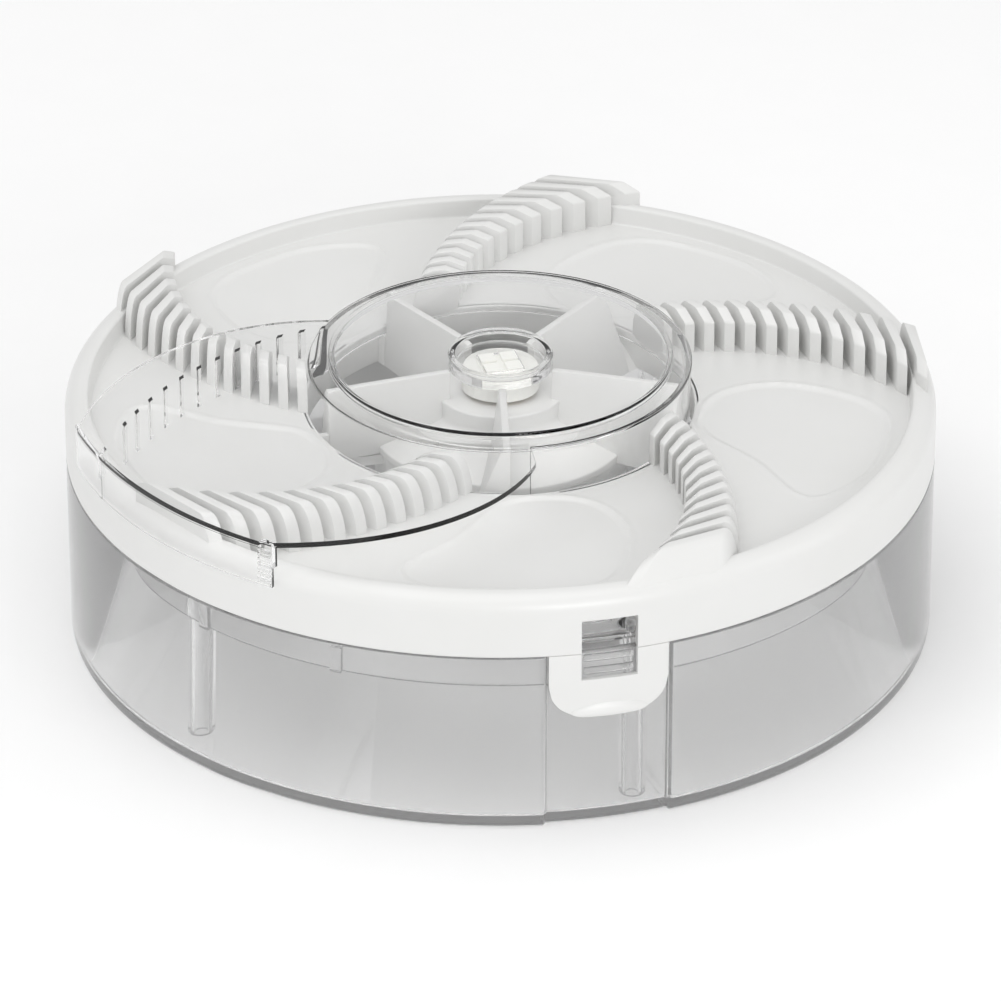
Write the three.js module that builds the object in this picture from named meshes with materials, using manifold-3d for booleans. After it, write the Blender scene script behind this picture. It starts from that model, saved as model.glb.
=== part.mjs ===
// Rotating electric fly trap: a clear catch bowl, a white top with five curved rows of fins, and a
// clear cover that turns slowly and sweeps insects into the well. Millimetres, +Z up. The origin is
// the centre of the bowl's underside, and the front latch faces -Y. Angles are in degrees from +X.
import * as THREE from 'three';
import { mergeVertices } from 'three/addons/utils/BufferGeometryUtils.js';
import Module from 'manifold-3d';

const wasm = await Module();
wasm.setup();

// ---- driving dimensions -------------------------------------------------------------------------
const GAP = 0.3; // clearance between neighbouring pieces
const OUTER_R = 92.5; // bowl and band, outside radius
const BOWL_H = 40.2; // top edge of the bowl wall
const BOWL_WALL = 2.0;
const FLOOR = 2.0;
const FOOT_R = 1.6; // rounding under the bowl's edge
const BAND_WALL = 2.2;
const BAND_RISE = 9.5; // from the band's lower edge up to the plate that the bait sits on
const PLATE_T = 2.0;
const SHOULDER_R = 3.9; // radius of the rounded rim
const RIM_RISE = 4.2; // rim crest above the plate
const RIM_W = 5.9; // rim, across, where it meets the plate
const WELL_R = 41.2; // central well
const WELL_WALL = 1.8;
const WELL_DEPTH = 8.0; // below the plate
const HUB_R = 13.4;
const HUB_RISE = 3.0; // above the plate
const CEILING_R = 27.5; // cone that closes the gear pod
const SPOKE_T = 1.6;
const SPOKE_LEAN = 10.0; // how far each spoke's foot is turned back, in degrees
const SPOKE_A0 = -101.9;
const SPOKE_SHORT = 2.4; // blades stop this far inside the well's wall
const VANES = 5;
const VANE_A0 = 17.4; // clockwise edge of the first vane at the well
const FIN_PITCH = 3.92;
const FIN_T = 2.0;
const FIN_INSET = 2.1; // outermost fin, inside the band's outer face
const FIN_H = 9.0; // above the plate
const FIN_EDGE_H = 7.1; // height of a fin's upright end
const SLOPE_RUN = 3.8; // arc from the upright end to the flat top
const FALL_RUN = 3.8; // arc of the rounded far end
const END_DROP = 7.0; // how far the smooth end block over the front latch falls
const RECESS_DEPTH = 0.45;
const COVER_T = 1.2;
const LID_PLAY = 0.6; // cover's flange, inside the well
const LID_FLANGE_W = 4.1;
const LID_RISE = 1.5;
const CUP_R = 9.7;
const CUP_WALL = 1.2;
const CUP_DEPTH = 2.6;
const CUP_FLOOR_T = 1.4;
const SKIRT_OUT = 1.3; // the cover's outer skirt stands this far outside the band
const SKIRT_T = 1.0;
const SKIRT_LOW = 0.5; // skirt's lower edge, above the plate
const COMB_HALF = 0.7; // half the comb wall's thickness
const COMB_CLEAR = 0.45; // round each fin, in the comb's slots
const SQUARE = 8.0; // drive square, across flats
const LATCH_W = 25.2;
const PANEL_SIDE = 0.7; // flat panel behind each latch, beyond the latch's sides
const LATCH_H = 14.2; // below the band
const LATCH_T = 1.2;
const LATCH_CORNER = 7.0;
const LIP_W = 16.4;
const CATCH_DEPTH = 0.4; // how far the bowl's catch bars stand out behind a latch
const CATCH_H = 1.6;
const WINDOW_W = 11.8;
const WINDOW_TOP = 7.7; // above the band's lower edge
const WINDOW_BOTTOM = 6.1; // below it
const GUARD_INSET = 4.3;
const GUARD_T = 1.2;
const GUARD_DROP = 8.7; // guard skirt, below the bowl's top
const GUARD_FLANGE_W = 3.8; // flange inside the guard's skirt
const LEG_R = 2.75;
const LEG_BORE_R = 1.3;
const RIB_W = 2.6;
const RIB_OUT = 0.8; // ribs stand this far out of the guard's skirt
const MODULE = 0.6;
const SHAFT_R = 3.2;
const GEAR_ROOM = 12.7; // between the motor's face and the well's floor
const POD_R = 26.8;
const POD_WALL = 1.6;
const POD_FLOOR_ROOM = 4.0; // under the motor, for the leads
const MOTOR_R = 12.2;
const MOTOR_H = 12.3;
const CELL_R = 7.1;
const CELL_L = 50.0;
const TRAY_WALL = 1.5;
const TRAY_AWAY = 9.4; // between the well's edge and the tray
const PORT_A = 107.0;
const SWITCH_A = 73.0;
const SCREW_R = 0.85;
const WALL_HOLE = 0.35; // clearance round what looks out through the band

// ---- sizes that follow from them ----------------------------------------------------------------
const bandBottom = BOWL_H + GAP;
const plateTop = bandBottom + BAND_RISE;
const plateUnder = plateTop - PLATE_T;
const wellBottom = plateTop - WELL_DEPTH;
const hubTop = plateTop + HUB_RISE;
const shoulderZ = plateTop + RIM_RISE - SHOULDER_R;
const crestR = OUTER_R - SHOULDER_R;
const crestZ = plateTop + RIM_RISE;
const rimFootR = OUTER_R - RIM_W;
const bandIn = OUTER_R - BAND_WALL;
const finOuterR = OUTER_R - FIN_INSET;
const finCount = Math.floor((finOuterR - FIN_T - WELL_R) / FIN_PITCH) + 1;
const finTop = plateTop + FIN_H;
const finFoot = plateUnder + 0.6 * PLATE_T; // fins start inside the plate
const roofUnder = finTop + GAP;
const roofTop = roofUnder + COVER_T;
const discTop = roofTop + LID_RISE;
const flangeR = WELL_R - LID_PLAY;
const discR = flangeR - LID_FLANGE_W;
const cupFloor = discTop - CUP_DEPTH;
const cupOuterR = CUP_R + CUP_WALL;
const skirtOut = OUTER_R + SKIRT_OUT;
const skirtIn = skirtOut - SKIRT_T;
const spokeTop = finTop - 0.1;
const recessDeep = LATCH_T + GAP + CATCH_DEPTH; // bowl wall steps in behind each latch
const latchHalf = deg(Math.asin(LATCH_W / 2 / OUTER_R));
const panelHalf = deg(Math.asin((LATCH_W / 2 + PANEL_SIDE) / OUTER_R));
const guardR = OUTER_R - GUARD_INSET;
const motorTop = wellBottom - GEAR_ROOM;
const podTop = wellBottom - GAP;
const podBottom = motorTop - MOTOR_H - POD_FLOOR_ROOM;

// ---- helpers ------------------------------------------------------------------------------------
function rad(a) {
  return (a * Math.PI) / 180;
}
function deg(a) {
  return (a * 180) / Math.PI;
}
function polar(r, a, z = 0) {
  return new THREE.Vector3(r * Math.cos(rad(a)), r * Math.sin(rad(a)), z);
}
// Share of the way from the well's edge to the outside.
function across(r) {
  return (r - WELL_R) / (OUTER_R - WELL_R);
}

// A closed three.js geometry as a solid, turned right side out when needed.
function solid(geometry) {
  const g = geometry.index ? geometry.toNonIndexed() : geometry.clone();
  for (const name of Object.keys(g.attributes)) {
    if (name !== 'position') g.deleteAttribute(name);
  }
  const merged = mergeVertices(g, 1e-4);
  const verts = Float32Array.from(merged.attributes.position.array);
  const raw = merged.index.array;
  const tris = [];
  for (let i = 0; i < raw.length; i += 3) {
    const [a, b, c] = [raw[i], raw[i + 1], raw[i + 2]];
    if (a !== b && b !== c && a !== c) tris.push(a, b, c);
  }
  const corner = (i) => new THREE.Vector3(verts[3 * i], verts[3 * i + 1], verts[3 * i + 2]);
  let volume = 0;
  for (let i = 0; i < tris.length; i += 3) {
    volume += corner(tris[i]).dot(corner(tris[i + 1]).cross(corner(tris[i + 2])));
  }
  if (volume < 0) {
    for (let i = 0; i < tris.length; i += 3) {
      [tris[i + 1], tris[i + 2]] = [tris[i + 2], tris[i + 1]];
    }
  }
  const mesh = new wasm.Mesh({ numProp: 3, vertProperties: verts, triVerts: Uint32Array.from(tris) });
  return new wasm.Manifold(mesh);
}

function join(...list) {
  return list.flat().reduce((a, b) => a.add(b));
}
function cut(body, ...tools) {
  return tools.flat().reduce((a, b) => a.subtract(b), body);
}

// Ring or disc turned about Z from an outline of [radius, height] points.
function turned(points, segments = 72) {
  const onAxis = points[0][0] === 0 && points[points.length - 1][0] === 0;
  const outline = points.map(([r, z]) => new THREE.Vector2(r, z));
  if (!onAxis) outline.push(outline[0].clone());
  const g = new THREE.LatheGeometry(outline, segments);
  g.rotateX(Math.PI / 2);
  return solid(g);
}
function tube(rIn, rOut, z0, z1, segments = 32) {
  return turned([[rIn, z0], [rOut, z0], [rOut, z1], [rIn, z1]], segments);
}
function rod(r, z0, z1, segments = 24) {
  return turned([[0, z0], [r, z0], [r, z1], [0, z1]], segments);
}
function prism(points, z0, z1) {
  const shape = new THREE.Shape(points.map(([x, y]) => new THREE.Vector2(x, y)));
  const g = new THREE.ExtrudeGeometry(shape, { depth: z1 - z0, bevelEnabled: false, steps: 1 });
  g.translate(0, 0, z0);
  return solid(g);
}
function block(x0, x1, y0, y1, z0, z1) {
  const g = new THREE.BoxGeometry(x1 - x0, y1 - y0, z1 - z0);
  g.translate((x0 + x1) / 2, (y0 + y1) / 2, (z0 + z1) / 2);
  return solid(g);
}
// Piece of a ring between two angles, or two curves that give the angle at each radius.
function sector(r0, r1, a0, a1, z0, z1, steps = 8) {
  const from = typeof a0 === 'function' ? a0 : () => a0;
  const to = typeof a1 === 'function' ? a1 : () => a1;
  const pts = [];
  const add = (r, a) => {
    const p = polar(r, a);
    pts.push([p.x, p.y]);
  };
  for (let i = 0; i <= steps; i++) {
    const r = r0 + ((r1 - r0) * i) / steps;
    add(r, from(r));
  }
  const outer = Math.max(2, Math.ceil(Math.abs(to(r1) - from(r1)) / 5));
  for (let i = 1; i < outer; i++) add(r1, from(r1) + ((to(r1) - from(r1)) * i) / outer);
  for (let i = steps; i >= 0; i--) {
    const r = r0 + ((r1 - r0) * i) / steps;
    add(r, to(r));
  }
  const inner = Math.max(2, Math.ceil(Math.abs(to(r0) - from(r0)) / 5));
  for (let i = inner - 1; i > 0; i--) add(r0, from(r0) + ((to(r0) - from(r0)) * i) / inner);
  return prism(pts, z0, z1);
}
// Solid between rows of points: rows[i] are closed loops with equal numbers of points.
function loft(rows) {
  const n = rows[0].length;
  const pos = rows.flat().flatMap((p) => [p.x, p.y, p.z]);
  const idx = [];
  for (let i = 0; i + 1 < rows.length; i++) {
    for (let j = 0; j < n; j++) {
      const k = (j + 1) % n;
      const [a, b, c, d] = [i * n + j, i * n + k, (i + 1) * n + k, (i + 1) * n + j];
      idx.push(a, b, c, a, c, d);
    }
  }
  for (let j = 1; j + 1 < n; j++) {
    idx.push(0, j + 1, j);
    const last = (rows.length - 1) * n;
    idx.push(last, last + j, last + j + 1);
  }
  const g = new THREE.BufferGeometry();
  g.setAttribute('position', new THREE.Float32BufferAttribute(pos, 3));
  g.setIndex(idx);
  return solid(g);
}
function placed(body, matrix) {
  const mesh = body.getMesh();
  const g = new THREE.BufferGeometry();
  g.setAttribute('position', new THREE.BufferAttribute(mesh.vertProperties, 3));
  g.setIndex(Array.from(mesh.triVerts));
  return solid(g.applyMatrix4(matrix));
}
function turnZ(body, a) {
  return placed(body, new THREE.Matrix4().makeRotationZ(rad(a)));
}
function turnX(body, a) {
  return placed(body, new THREE.Matrix4().makeRotationX(rad(a)));
}
function move(body, x, y, z = 0) {
  return placed(body, new THREE.Matrix4().makeTranslation(x, y, z));
}
// Turns a piece made along Z so that it lies along X.
function alongX(body) {
  return placed(body, new THREE.Matrix4().makeRotationY(Math.PI / 2));
}
// A small pan-head screw that points up, with its head under the height given.
function screw(x, y, headTop, length) {
  const head = rod(1.7, headTop - 1.2, headTop, 16);
  const slot = block(-1.2, 1.2, -0.25, 0.25, headTop - 1.7, headTop - 0.75);
  const cross = block(-0.25, 0.25, -1.2, 1.2, headTop - 1.7, headTop - 0.75);
  const shank = rod(SCREW_R, headTop - 0.2, headTop + length, 12);
  return move(join(cut(head, slot, cross), shank), x, y);
}

const group = new THREE.Group();
// Puts a finished solid in the group as a mesh of its own.
function add(name, body, color, roughness = 0.4, metalness = 0, opacity = 1) {
  const mesh = body.getMesh();
  const g = new THREE.BufferGeometry();
  g.setAttribute('position', new THREE.Float32BufferAttribute(mesh.vertProperties, 3));
  g.setIndex(Array.from(mesh.triVerts));
  g.computeVertexNormals();
  const looks = { color, roughness, metalness, opacity, transparent: opacity < 1 };
  const node = new THREE.Mesh(g, new THREE.MeshStandardMaterial(looks));
  node.name = name;
  group.add(node);
  return node;
}

const WHITE = 0xf2f2f0;
const CLEAR = 0xe8eef0;
const STEEL = 0xb8bcc0;
const BRASS = 0xc9a24a;
const NATURAL = 0xece8dc;

// ---- the catch bowl -----------------------------------------------------------------------------
// The wall steps in behind each latch, over the full height, and carries two catch bars there.
function makeBowl() {
  const r = OUTER_R;
  const inner = r - BOWL_WALL;
  const shell = turned([
    [0, 0], [r - FOOT_R, 0], [r - 0.35 * FOOT_R, 0.35 * FOOT_R], [r, FOOT_R], [r, BOWL_H],
    [inner, BOWL_H], [inner, FLOOR + 1], [inner - 1, FLOOR], [0, FLOOR],
  ], 60);
  const half = panelHalf;
  const edge = half + 1.2;
  let bowl = shell;
  for (const a of [-90, 90]) {
    const deep = r - recessDeep;
    const backing = sector(deep - BOWL_WALL, inner + 0.5, a - edge, a + edge, 1, BOWL_H, 1);
    const pocket = sector(deep, r + 2, a - half, a + half, -1, BOWL_H + 1, 1);
    bowl = cut(join(bowl, backing), pocket);
    const barHalf = deg((WINDOW_W / 2 - 0.6) / r);
    for (const z of [BOWL_H - 4.9, BOWL_H - 1.9]) {
      const bar = sector(deep - 0.5, deep + CATCH_DEPTH, a - barHalf, a + barHalf, z, z + CATCH_H, 1);
      bowl = join(bowl, bar);
    }
  }
  return bowl;
}

// ---- the white top ------------------------------------------------------------------------------
// Clockwise edge of a vane: its angle at each radius, counted from the vane's start at the well.
function vaneEdge(r) {
  const t = across(r);
  return -0.5 - 21.6 * t - 13.2 * t * t;
}
// How far a fin's flat top runs round from that edge.
function finTopRun(r) {
  const t = Math.max(0, across(r) - 0.21);
  return 7.2 + 23.4 * t * t;
}
// Skyline of a fin: arc length from its upright clockwise end, and height. It ends above its foot.
function skyline(r, top) {
  const rise = top - finFoot;
  const run = finTopRun(r);
  const edge = finFoot + (rise * (plateTop + FIN_EDGE_H - finFoot)) / (finTop - finFoot);
  const points = [[0, edge], [SLOPE_RUN, top], [(SLOPE_RUN + run) / 2, top], [run, top]];
  for (const t of [40, 65, 85]) {
    points.push([run + FALL_RUN * Math.sin(rad(t)), top - rise * (1 - Math.cos(rad(t)))]);
  }
  return points;
}
// A fin between two radii, each with its own height, lofted along its arc.
function finBetween(rIn, topIn, rOut, topOut, a0) {
  const inner = skyline(rIn, topIn);
  const outer = skyline(rOut, topOut);
  const at = (r, [s, z]) => polar(r, a0 + vaneEdge(r) + deg(s / r), z);
  return loft(inner.map((p, i) => [
    at(rIn, [p[0], finFoot]), at(rOut, [outer[i][0], finFoot]), at(rOut, outer[i]), at(rIn, p),
  ]));
}
function makeFin(i, a0) {
  const outer = finOuterR - i * FIN_PITCH;
  return finBetween(outer - FIN_T, finTop, outer, finTop, a0);
}
// The vane over the front latch ends in one smooth block that runs down into the rim.
function makeEndBlock(a0) {
  const start = finOuterR - FIN_PITCH - FIN_T;
  const span = OUTER_R - 0.8 - start;
  const level = 0.22; // share of the block with a flat top
  const height = (t) => finTop - END_DROP * (Math.max(0, t - level) / (1 - level)) ** 1.6;
  const stops = [0, level, 0.5, 0.75, 1];
  return join(stops.slice(1).map((t, i) => {
    const before = i === 0 ? 0 : stops[i] - 0.001;
    return finBetween(start + before * span, height(before), start + t * span, height(t), a0);
  }));
}
// One blade of the well: a thin top edge, and a foot that leans back under it.
function makeSpoke(a) {
  const rIn = cupOuterR + 0.5;
  const rOut = WELL_R - SPOKE_SHORT;
  const row = (r, top) => {
    const half = deg(SPOKE_T / 2 / r);
    return [
      polar(r, a - half - SPOKE_LEAN, wellBottom),
      polar(r, a + half, wellBottom),
      polar(r, a + half, top),
      polar(r, a - half, top),
    ];
  };
  const low = plateTop - 1.5;
  const blade = loft([row(rIn, spokeTop), row(rOut, spokeTop)]);
  const tail = loft([row(rOut - 1, low), row(WELL_R + 0.9, low)]);
  return join(blade, tail);
}
// Outline of one shallow bait recess: share of the way from the well to the rim, and angle from the
// vane on its clockwise side.
const RECESS_OUTLINE = [
  [0.77, -64.3], [0.41, -57.0], [0.1, -48.8], [0.05, -37.8], [0.12, -28.3], [0.28, -24.3],
  [0.46, -24.7], [0.66, -28.3], [0.83, -33.0], [0.91, -40.0], [0.91, -54.0],
];
function recessLoop(a0) {
  const corners = RECESS_OUTLINE.map(([t, a]) => polar(WELL_R + t * (rimFootR - WELL_R), a0 + a));
  const loop = new THREE.CatmullRomCurve3(corners, true, 'catmullrom', 0.5);
  return loop.getPoints(2 * corners.length).slice(0, -1).map((p) => [p.x, p.y]);
}
function makeHousing() {
  const arc = [];
  for (let t = 22.5; t <= 90; t += 22.5) {
    arc.push([crestR + SHOULDER_R * Math.cos(rad(t)), shoulderZ + SHOULDER_R * Math.sin(rad(t))]);
  }
  const shell = turned([
    [OUTER_R, bandBottom], [OUTER_R, shoulderZ], ...arc,
    [rimFootR + 1.1, crestZ - 0.4], [rimFootR + 0.4, plateTop + 0.6], [rimFootR, plateTop],
    [WELL_R, plateTop], [WELL_R, wellBottom],
    [WELL_R + WELL_WALL, wellBottom], [WELL_R + WELL_WALL, plateUnder],
    [rimFootR + 1.5, plateUnder], [crestR + 0.2, crestZ - 2.4], [bandIn, shoulderZ], [bandIn, bandBottom],
  ], 60);
  const hub = turned([
    [0, wellBottom], [CEILING_R, wellBottom], [CEILING_R, wellBottom + 1.8],
    [HUB_R, wellBottom + 6], [HUB_R, hubTop - 0.6], [HUB_R - 0.6, hubTop], [0, hubTop],
  ], 30);
  const parts = [shell, hub];
  for (let k = 0; k < 5; k++) parts.push(makeSpoke(SPOKE_A0 + 72 * k));
  for (let k = 0; k < VANES; k++) {
    const a0 = VANE_A0 + 72 * k;
    const front = k === 4;
    for (let i = front ? 2 : 0; i < finCount; i++) parts.push(makeFin(i, a0));
    if (front) parts.push(makeEndBlock(a0));
  }
  // bosses for the tray, the pod and the charge board
  for (const [x, y] of trayScrews()) parts.push(move(rod(2.6, trayEarTop + GAP, plateUnder + 0.5, 20), x, y));
  for (const [x, y] of boardScrews()) parts.push(move(rod(2.2, boardTop + GAP, plateUnder + 0.5, 20), x, y));
  let body = join(parts);
  // bait recesses
  for (let k = 0; k < VANES; k++) {
    body = cut(body, prism(recessLoop(VANE_A0 + 72 * k), plateTop - RECESS_DEPTH, plateTop + 0.02));
  }
  // upper half of each latch window
  for (const a of [-90, 90]) {
    body = cut(body, windowCut(a, bandBottom - 1, bandBottom + WINDOW_TOP));
  }
  // bush seat, screw holes, charge port, light and switch
  body = cut(body, rod(BUSH_R + GAP, wellBottom - 1, hubTop + 1, 32));
  body = cut(body, move(rod(AXLE_R + GAP, wellBottom - 1, wellBottom + 1.4, 16), idler.x, idler.y));
  for (const [x, y] of [...trayScrews(), ...boardScrews()]) {
    body = cut(body, move(rod(SCREW_R + GAP, wellBottom - 1, plateUnder - 0.2, 16), x, y));
  }
  for (const [x, y] of podScrews()) {
    body = cut(body, move(rod(SCREW_R + GAP, wellBottom - 1, wellBottom + POD_SCREW_DEEP, 16), x, y));
  }
  const [inside, outside] = [bandIn - 6, OUTER_R + 3];
  body = cut(body, turnZ(portBlock(WALL_HOLE, inside, outside), PORT_A));
  body = cut(body, turnZ(ledRod(LED_R + WALL_HOLE, inside, outside), PORT_A));
  body = cut(body, turnZ(knobPath(WALL_HOLE), SWITCH_A));
  return body;
}
function windowCut(a, z0, z1) {
  const w = WINDOW_W / 2;
  const hole = block(OUTER_R - 6, OUTER_R + 4, -w, w, z0, z1);
  return turnZ(hole, a);
}

// ---- latches ------------------------------------------------------------------------------------
// A flexible tab under the band, with the lower half of the window and a finger lip at its tip.
function makeLatch(a) {
  const top = bandBottom - GAP;
  const tip = bandBottom - LATCH_H;
  const rIn = OUTER_R - LATCH_T;
  const wall = sector(rIn, OUTER_R, -latchHalf, latchHalf, tip, top, 1);
  // the lower corners are rounded by a shape cut right through
  const w = LATCH_W / 2;
  const corner = LATCH_CORNER;
  const outline = [[-w - 1, top + 1], [-w - 1, tip + corner]];
  for (let t = 0; t <= 90; t += 18) {
    outline.push([-w + corner - corner * Math.cos(rad(t)), tip + corner - corner * Math.sin(rad(t))]);
  }
  for (let t = 90; t >= 0; t -= 18) {
    outline.push([w - corner + corner * Math.cos(rad(t)), tip + corner - corner * Math.sin(rad(t))]);
  }
  outline.push([w + 1, tip + corner], [w + 1, top + 1]);
  const upright = new THREE.Matrix4().makeBasis(
    new THREE.Vector3(0, 1, 0), new THREE.Vector3(0, 0, 1), new THREE.Vector3(1, 0, 0));
  const stencil = placed(prism(outline, OUTER_R - 8, OUTER_R + 6), upright);
  const opening = windowCut(0, bandBottom - WINDOW_BOTTOM, top + 1);
  return turnZ(cut(join(wall.intersect(stencil), fingerLip(tip)), opening), a);
}

// A low bulge across the middle of a tab's tip: three triangular sections, the tallest in the middle.
function fingerLip(tip) {
  const side = deg(LIP_W / 2 / OUTER_R);
  const rBack = OUTER_R - 0.4;
  return loft([[-side, 0.2, 2.6, 0.2, 0.9], [0, -0.4, 3.6, 0.8, 0.2], [side, 0.2, 2.6, 0.2, 0.9]].map(
    ([a, low, high, out, nose]) => [
      polar(rBack, a, tip + low), polar(rBack, a, tip + high), polar(OUTER_R + out, a, tip + nose),
    ]));
}

// ---- guard ring ---------------------------------------------------------------------------------
// A clear ring that hangs inside the bowl's mouth. Its flange carries five hollow legs, which stand
// where the top leaves room for them and stop above the floor. Each leg: inset from the outside, angle.
const LEGS = [[8.5, -151.5], [7.5, -85.5], [12.5, -19.1], [8.5, 53.0], [8.5, 128.0]];
const RIBS = [-147.0, -126.0, 33.0, 54.0];
function makeGuard() {
  const low = BOWL_H - GUARD_DROP;
  const top = bandBottom + 2.2;
  const flangeLow = top - GUARD_T;
  const inner = guardR - GUARD_T;
  const lip = bandIn - 0.4;
  const spots = LEGS.map(([inset, a]) => polar(OUTER_R - inset, a));
  let body = turned([
    [inner, low], [guardR, low], [guardR, flangeLow], [lip, flangeLow], [lip, top],
    [inner - GUARD_FLANGE_W, top], [inner - GUARD_FLANGE_W, flangeLow], [inner, flangeLow],
  ], 60);
  for (const p of spots) {
    const pad = rod(LEG_R + 1.6, flangeLow, top - 0.05, 18);
    body = join(body, move(join(rod(LEG_R, FLOOR + 0.6, top - 0.1, 14), pad), p.x, p.y));
  }
  for (const p of spots) body = cut(body, move(rod(LEG_BORE_R, FLOOR - 1, top - 1.5, 10), p.x, p.y));
  for (const a of RIBS) {
    const rib = block(inner + 0.3, guardR + RIB_OUT, -RIB_W / 2, RIB_W / 2, low + 0.05, top - 0.6);
    body = join(body, turnZ(rib, a));
  }
  return body;
}

// ---- turning cover ------------------------------------------------------------------------------
// Angles at a radius: the roof's trailing edge, the comb wall, and the open leading edge.
function trailing(r) {
  const t = across(r);
  return 141.7 + 31.9 * t + 11.1 * t * t;
}
function comb(r) {
  const t = across(r);
  return 145.8 + 58.4 * t - 11.3 * t * t;
}
function leading(r) {
  const t = Math.max(0, across(r) - 0.113);
  return 265.1 - 30.8 * t - 14.5 * t * t;
}
function makeLid() {
  const low = cupFloor - CUP_FLOOR_T;
  const lid = turned([
    [0, low], [cupOuterR, low], [cupOuterR, discTop - COVER_T],
    [discR - 1, discTop - COVER_T], [discR - 1, roofUnder], [flangeR, roofUnder],
    [flangeR, roofTop], [discR, roofTop], [discR, discTop],
    [cupOuterR, discTop], [CUP_R, discTop - 0.4], [CUP_R - 0.3, cupFloor], [0, cupFloor],
  ], 48);
  const s = SQUARE / 2 + GAP;
  return cut(lid, block(-s, s, -s, s, low - 1, cupFloor + 1));
}
// A wall under the roof with room for the rim and one slot for each ring of fins. The two outermost
// rings share one wide slot, which also clears the smooth end of the front row.
function makeComb() {
  const side = (r) => deg(COMB_HALF / r);
  const from = (r) => comb(r) - side(r);
  const to = (r) => comb(r) + side(r);
  const low = plateTop - 2;
  let wall = sector(flangeR - 1, skirtOut - 0.2, from, to, plateTop + 0.4, roofTop - 0.4, 12);
  wall = cut(wall, tube(rimFootR - 0.6, skirtIn + 0.1, low, crestZ + 0.4, 72));
  for (let i = 1; i < finCount; i++) {
    const outer = finOuterR - i * FIN_PITCH;
    const far = i === 1 ? finOuterR : outer;
    const slot = tube(outer - FIN_T - COMB_CLEAR, far + COMB_CLEAR, low, roofUnder + 0.02, 72);
    wall = cut(wall, slot);
  }
  return wall;
}
function makeCover() {
  const skirtBottom = plateTop + SKIRT_LOW;
  const roof = sector(flangeR - 1, skirtOut, trailing, leading, roofUnder, roofTop, 10);
  const [a0, a1] = [trailing(OUTER_R), leading(OUTER_R)];
  const skirt = sector(skirtIn, skirtOut, a0, a1, skirtBottom, roofTop - 0.1, 1);
  const postWall = sector(skirtIn - 1.4, skirtOut, a1 - 2.1, a1, skirtBottom + 1.6, roofTop - 0.2, 1);
  const rimRoom = tube(rimFootR - 0.6, skirtIn - 0.02, plateTop - 2, crestZ + 0.4, 72);
  const post = cut(postWall, rimRoom);
  // inside the well, the wall goes round under the whole open side of the roof
  const wellTo = comb(WELL_R);
  const wellFrom = leading(WELL_R) - 360;
  const wellWall = sector(flangeR - 1.4, flangeR - 0.2, wellFrom, wellTo, plateTop - 1, roofTop - 0.3, 1);
  return join(makeLid(), wellWall, roof, skirt, post, makeComb());
}

// ---- drive train --------------------------------------------------------------------------------
const BUSH_R = 5.0;
const AXLE_R = 1.0;
const MOTOR_SHAFT_R = 1.0;
const OUTPUT_TEETH = 36;
const IDLER_SMALL = 12;
const IDLER_BIG = 30;
const PINION_TEETH = 10;
const idler = new THREE.Vector2((MODULE * (OUTPUT_TEETH + IDLER_SMALL)) / 2, 0);
const MOTOR_DIR = 225.7;
const motorReach = (MODULE * (IDLER_BIG + PINION_TEETH)) / 2;
const motor = new THREE.Vector2(
  idler.x + motorReach * Math.cos(rad(MOTOR_DIR)),
  idler.y + motorReach * Math.sin(rad(MOTOR_DIR)),
);
const GEAR_PLATE_T = 1.8;
const BIG_GEAR_T = 2.4;
const OUT_GEAR_T = 3.0;
const POD_SCREW_DEEP = 5.0;
const MOTOR_SCREW_CIRCLE = 7.5;
const LEAD_A = 108.4; // where the motor's leads leave the pod
const LEAD_R = 21.5;
const gearPlateLow = motorTop + GAP;
const gearPlateTop = gearPlateLow + GEAR_PLATE_T;
const bigGearZ = gearPlateTop + 1.4;
const outGearZ = bigGearZ + BIG_GEAR_T + 1.2;

// Straight-sided teeth, thin enough at the pitch line to leave some play.
function gear(teeth, phase, z0, z1, bore) {
  const pitchR = (MODULE * teeth) / 2;
  const tip = pitchR + 0.85 * MODULE;
  const root = pitchR - 1.2 * MODULE;
  const play = 0.13;
  const halfPitch = ((Math.PI * MODULE) / 2 - play) / 2 / pitchR;
  const halfTip = halfPitch * 0.5;
  const halfRoot = halfPitch * 1.42;
  const pts = [];
  for (let i = 0; i < teeth; i++) {
    const c = rad(phase) + (i * 2 * Math.PI) / teeth;
    for (const [r, h] of [[root, -halfRoot], [tip, -halfTip], [tip, halfTip], [root, halfRoot]]) {
      pts.push([r * Math.cos(c + h), r * Math.sin(c + h)]);
    }
  }
  return cut(prism(pts, z0, z1), rod(bore, z0 - 1, z1 + 1, 24));
}
function makeSpindle() {
  const seat = cupFloor - CUP_FLOOR_T - GAP;
  const collar = 8.0;
  const shaft = turned([
    [0, outGearZ - 1.6], [SHAFT_R, outGearZ - 1.6], [SHAFT_R, hubTop + 1.0], [collar, hubTop + 1.0],
    [collar, seat], [0, seat],
  ], 32);
  const s = SQUARE / 2;
  const headTop = cupFloor + 0.2;
  let head = block(-s, s, -s, s, seat - 0.5, headTop);
  for (const a of [0, 90]) {
    head = cut(head, turnZ(block(-s - 1, s + 1, -0.6, 0.6, headTop - 0.5, headTop + 1), a));
  }
  return join(shaft, head);
}
function makeBush() {
  const bore = SHAFT_R + GAP;
  const flange = BUSH_R + 1.6;
  return turned([
    [bore, wellBottom + 0.4], [BUSH_R, wellBottom + 0.4], [BUSH_R, hubTop + GAP], [flange, hubTop + GAP],
    [flange, hubTop + 0.7], [bore, hubTop + 0.7],
  ], 32);
}
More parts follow.
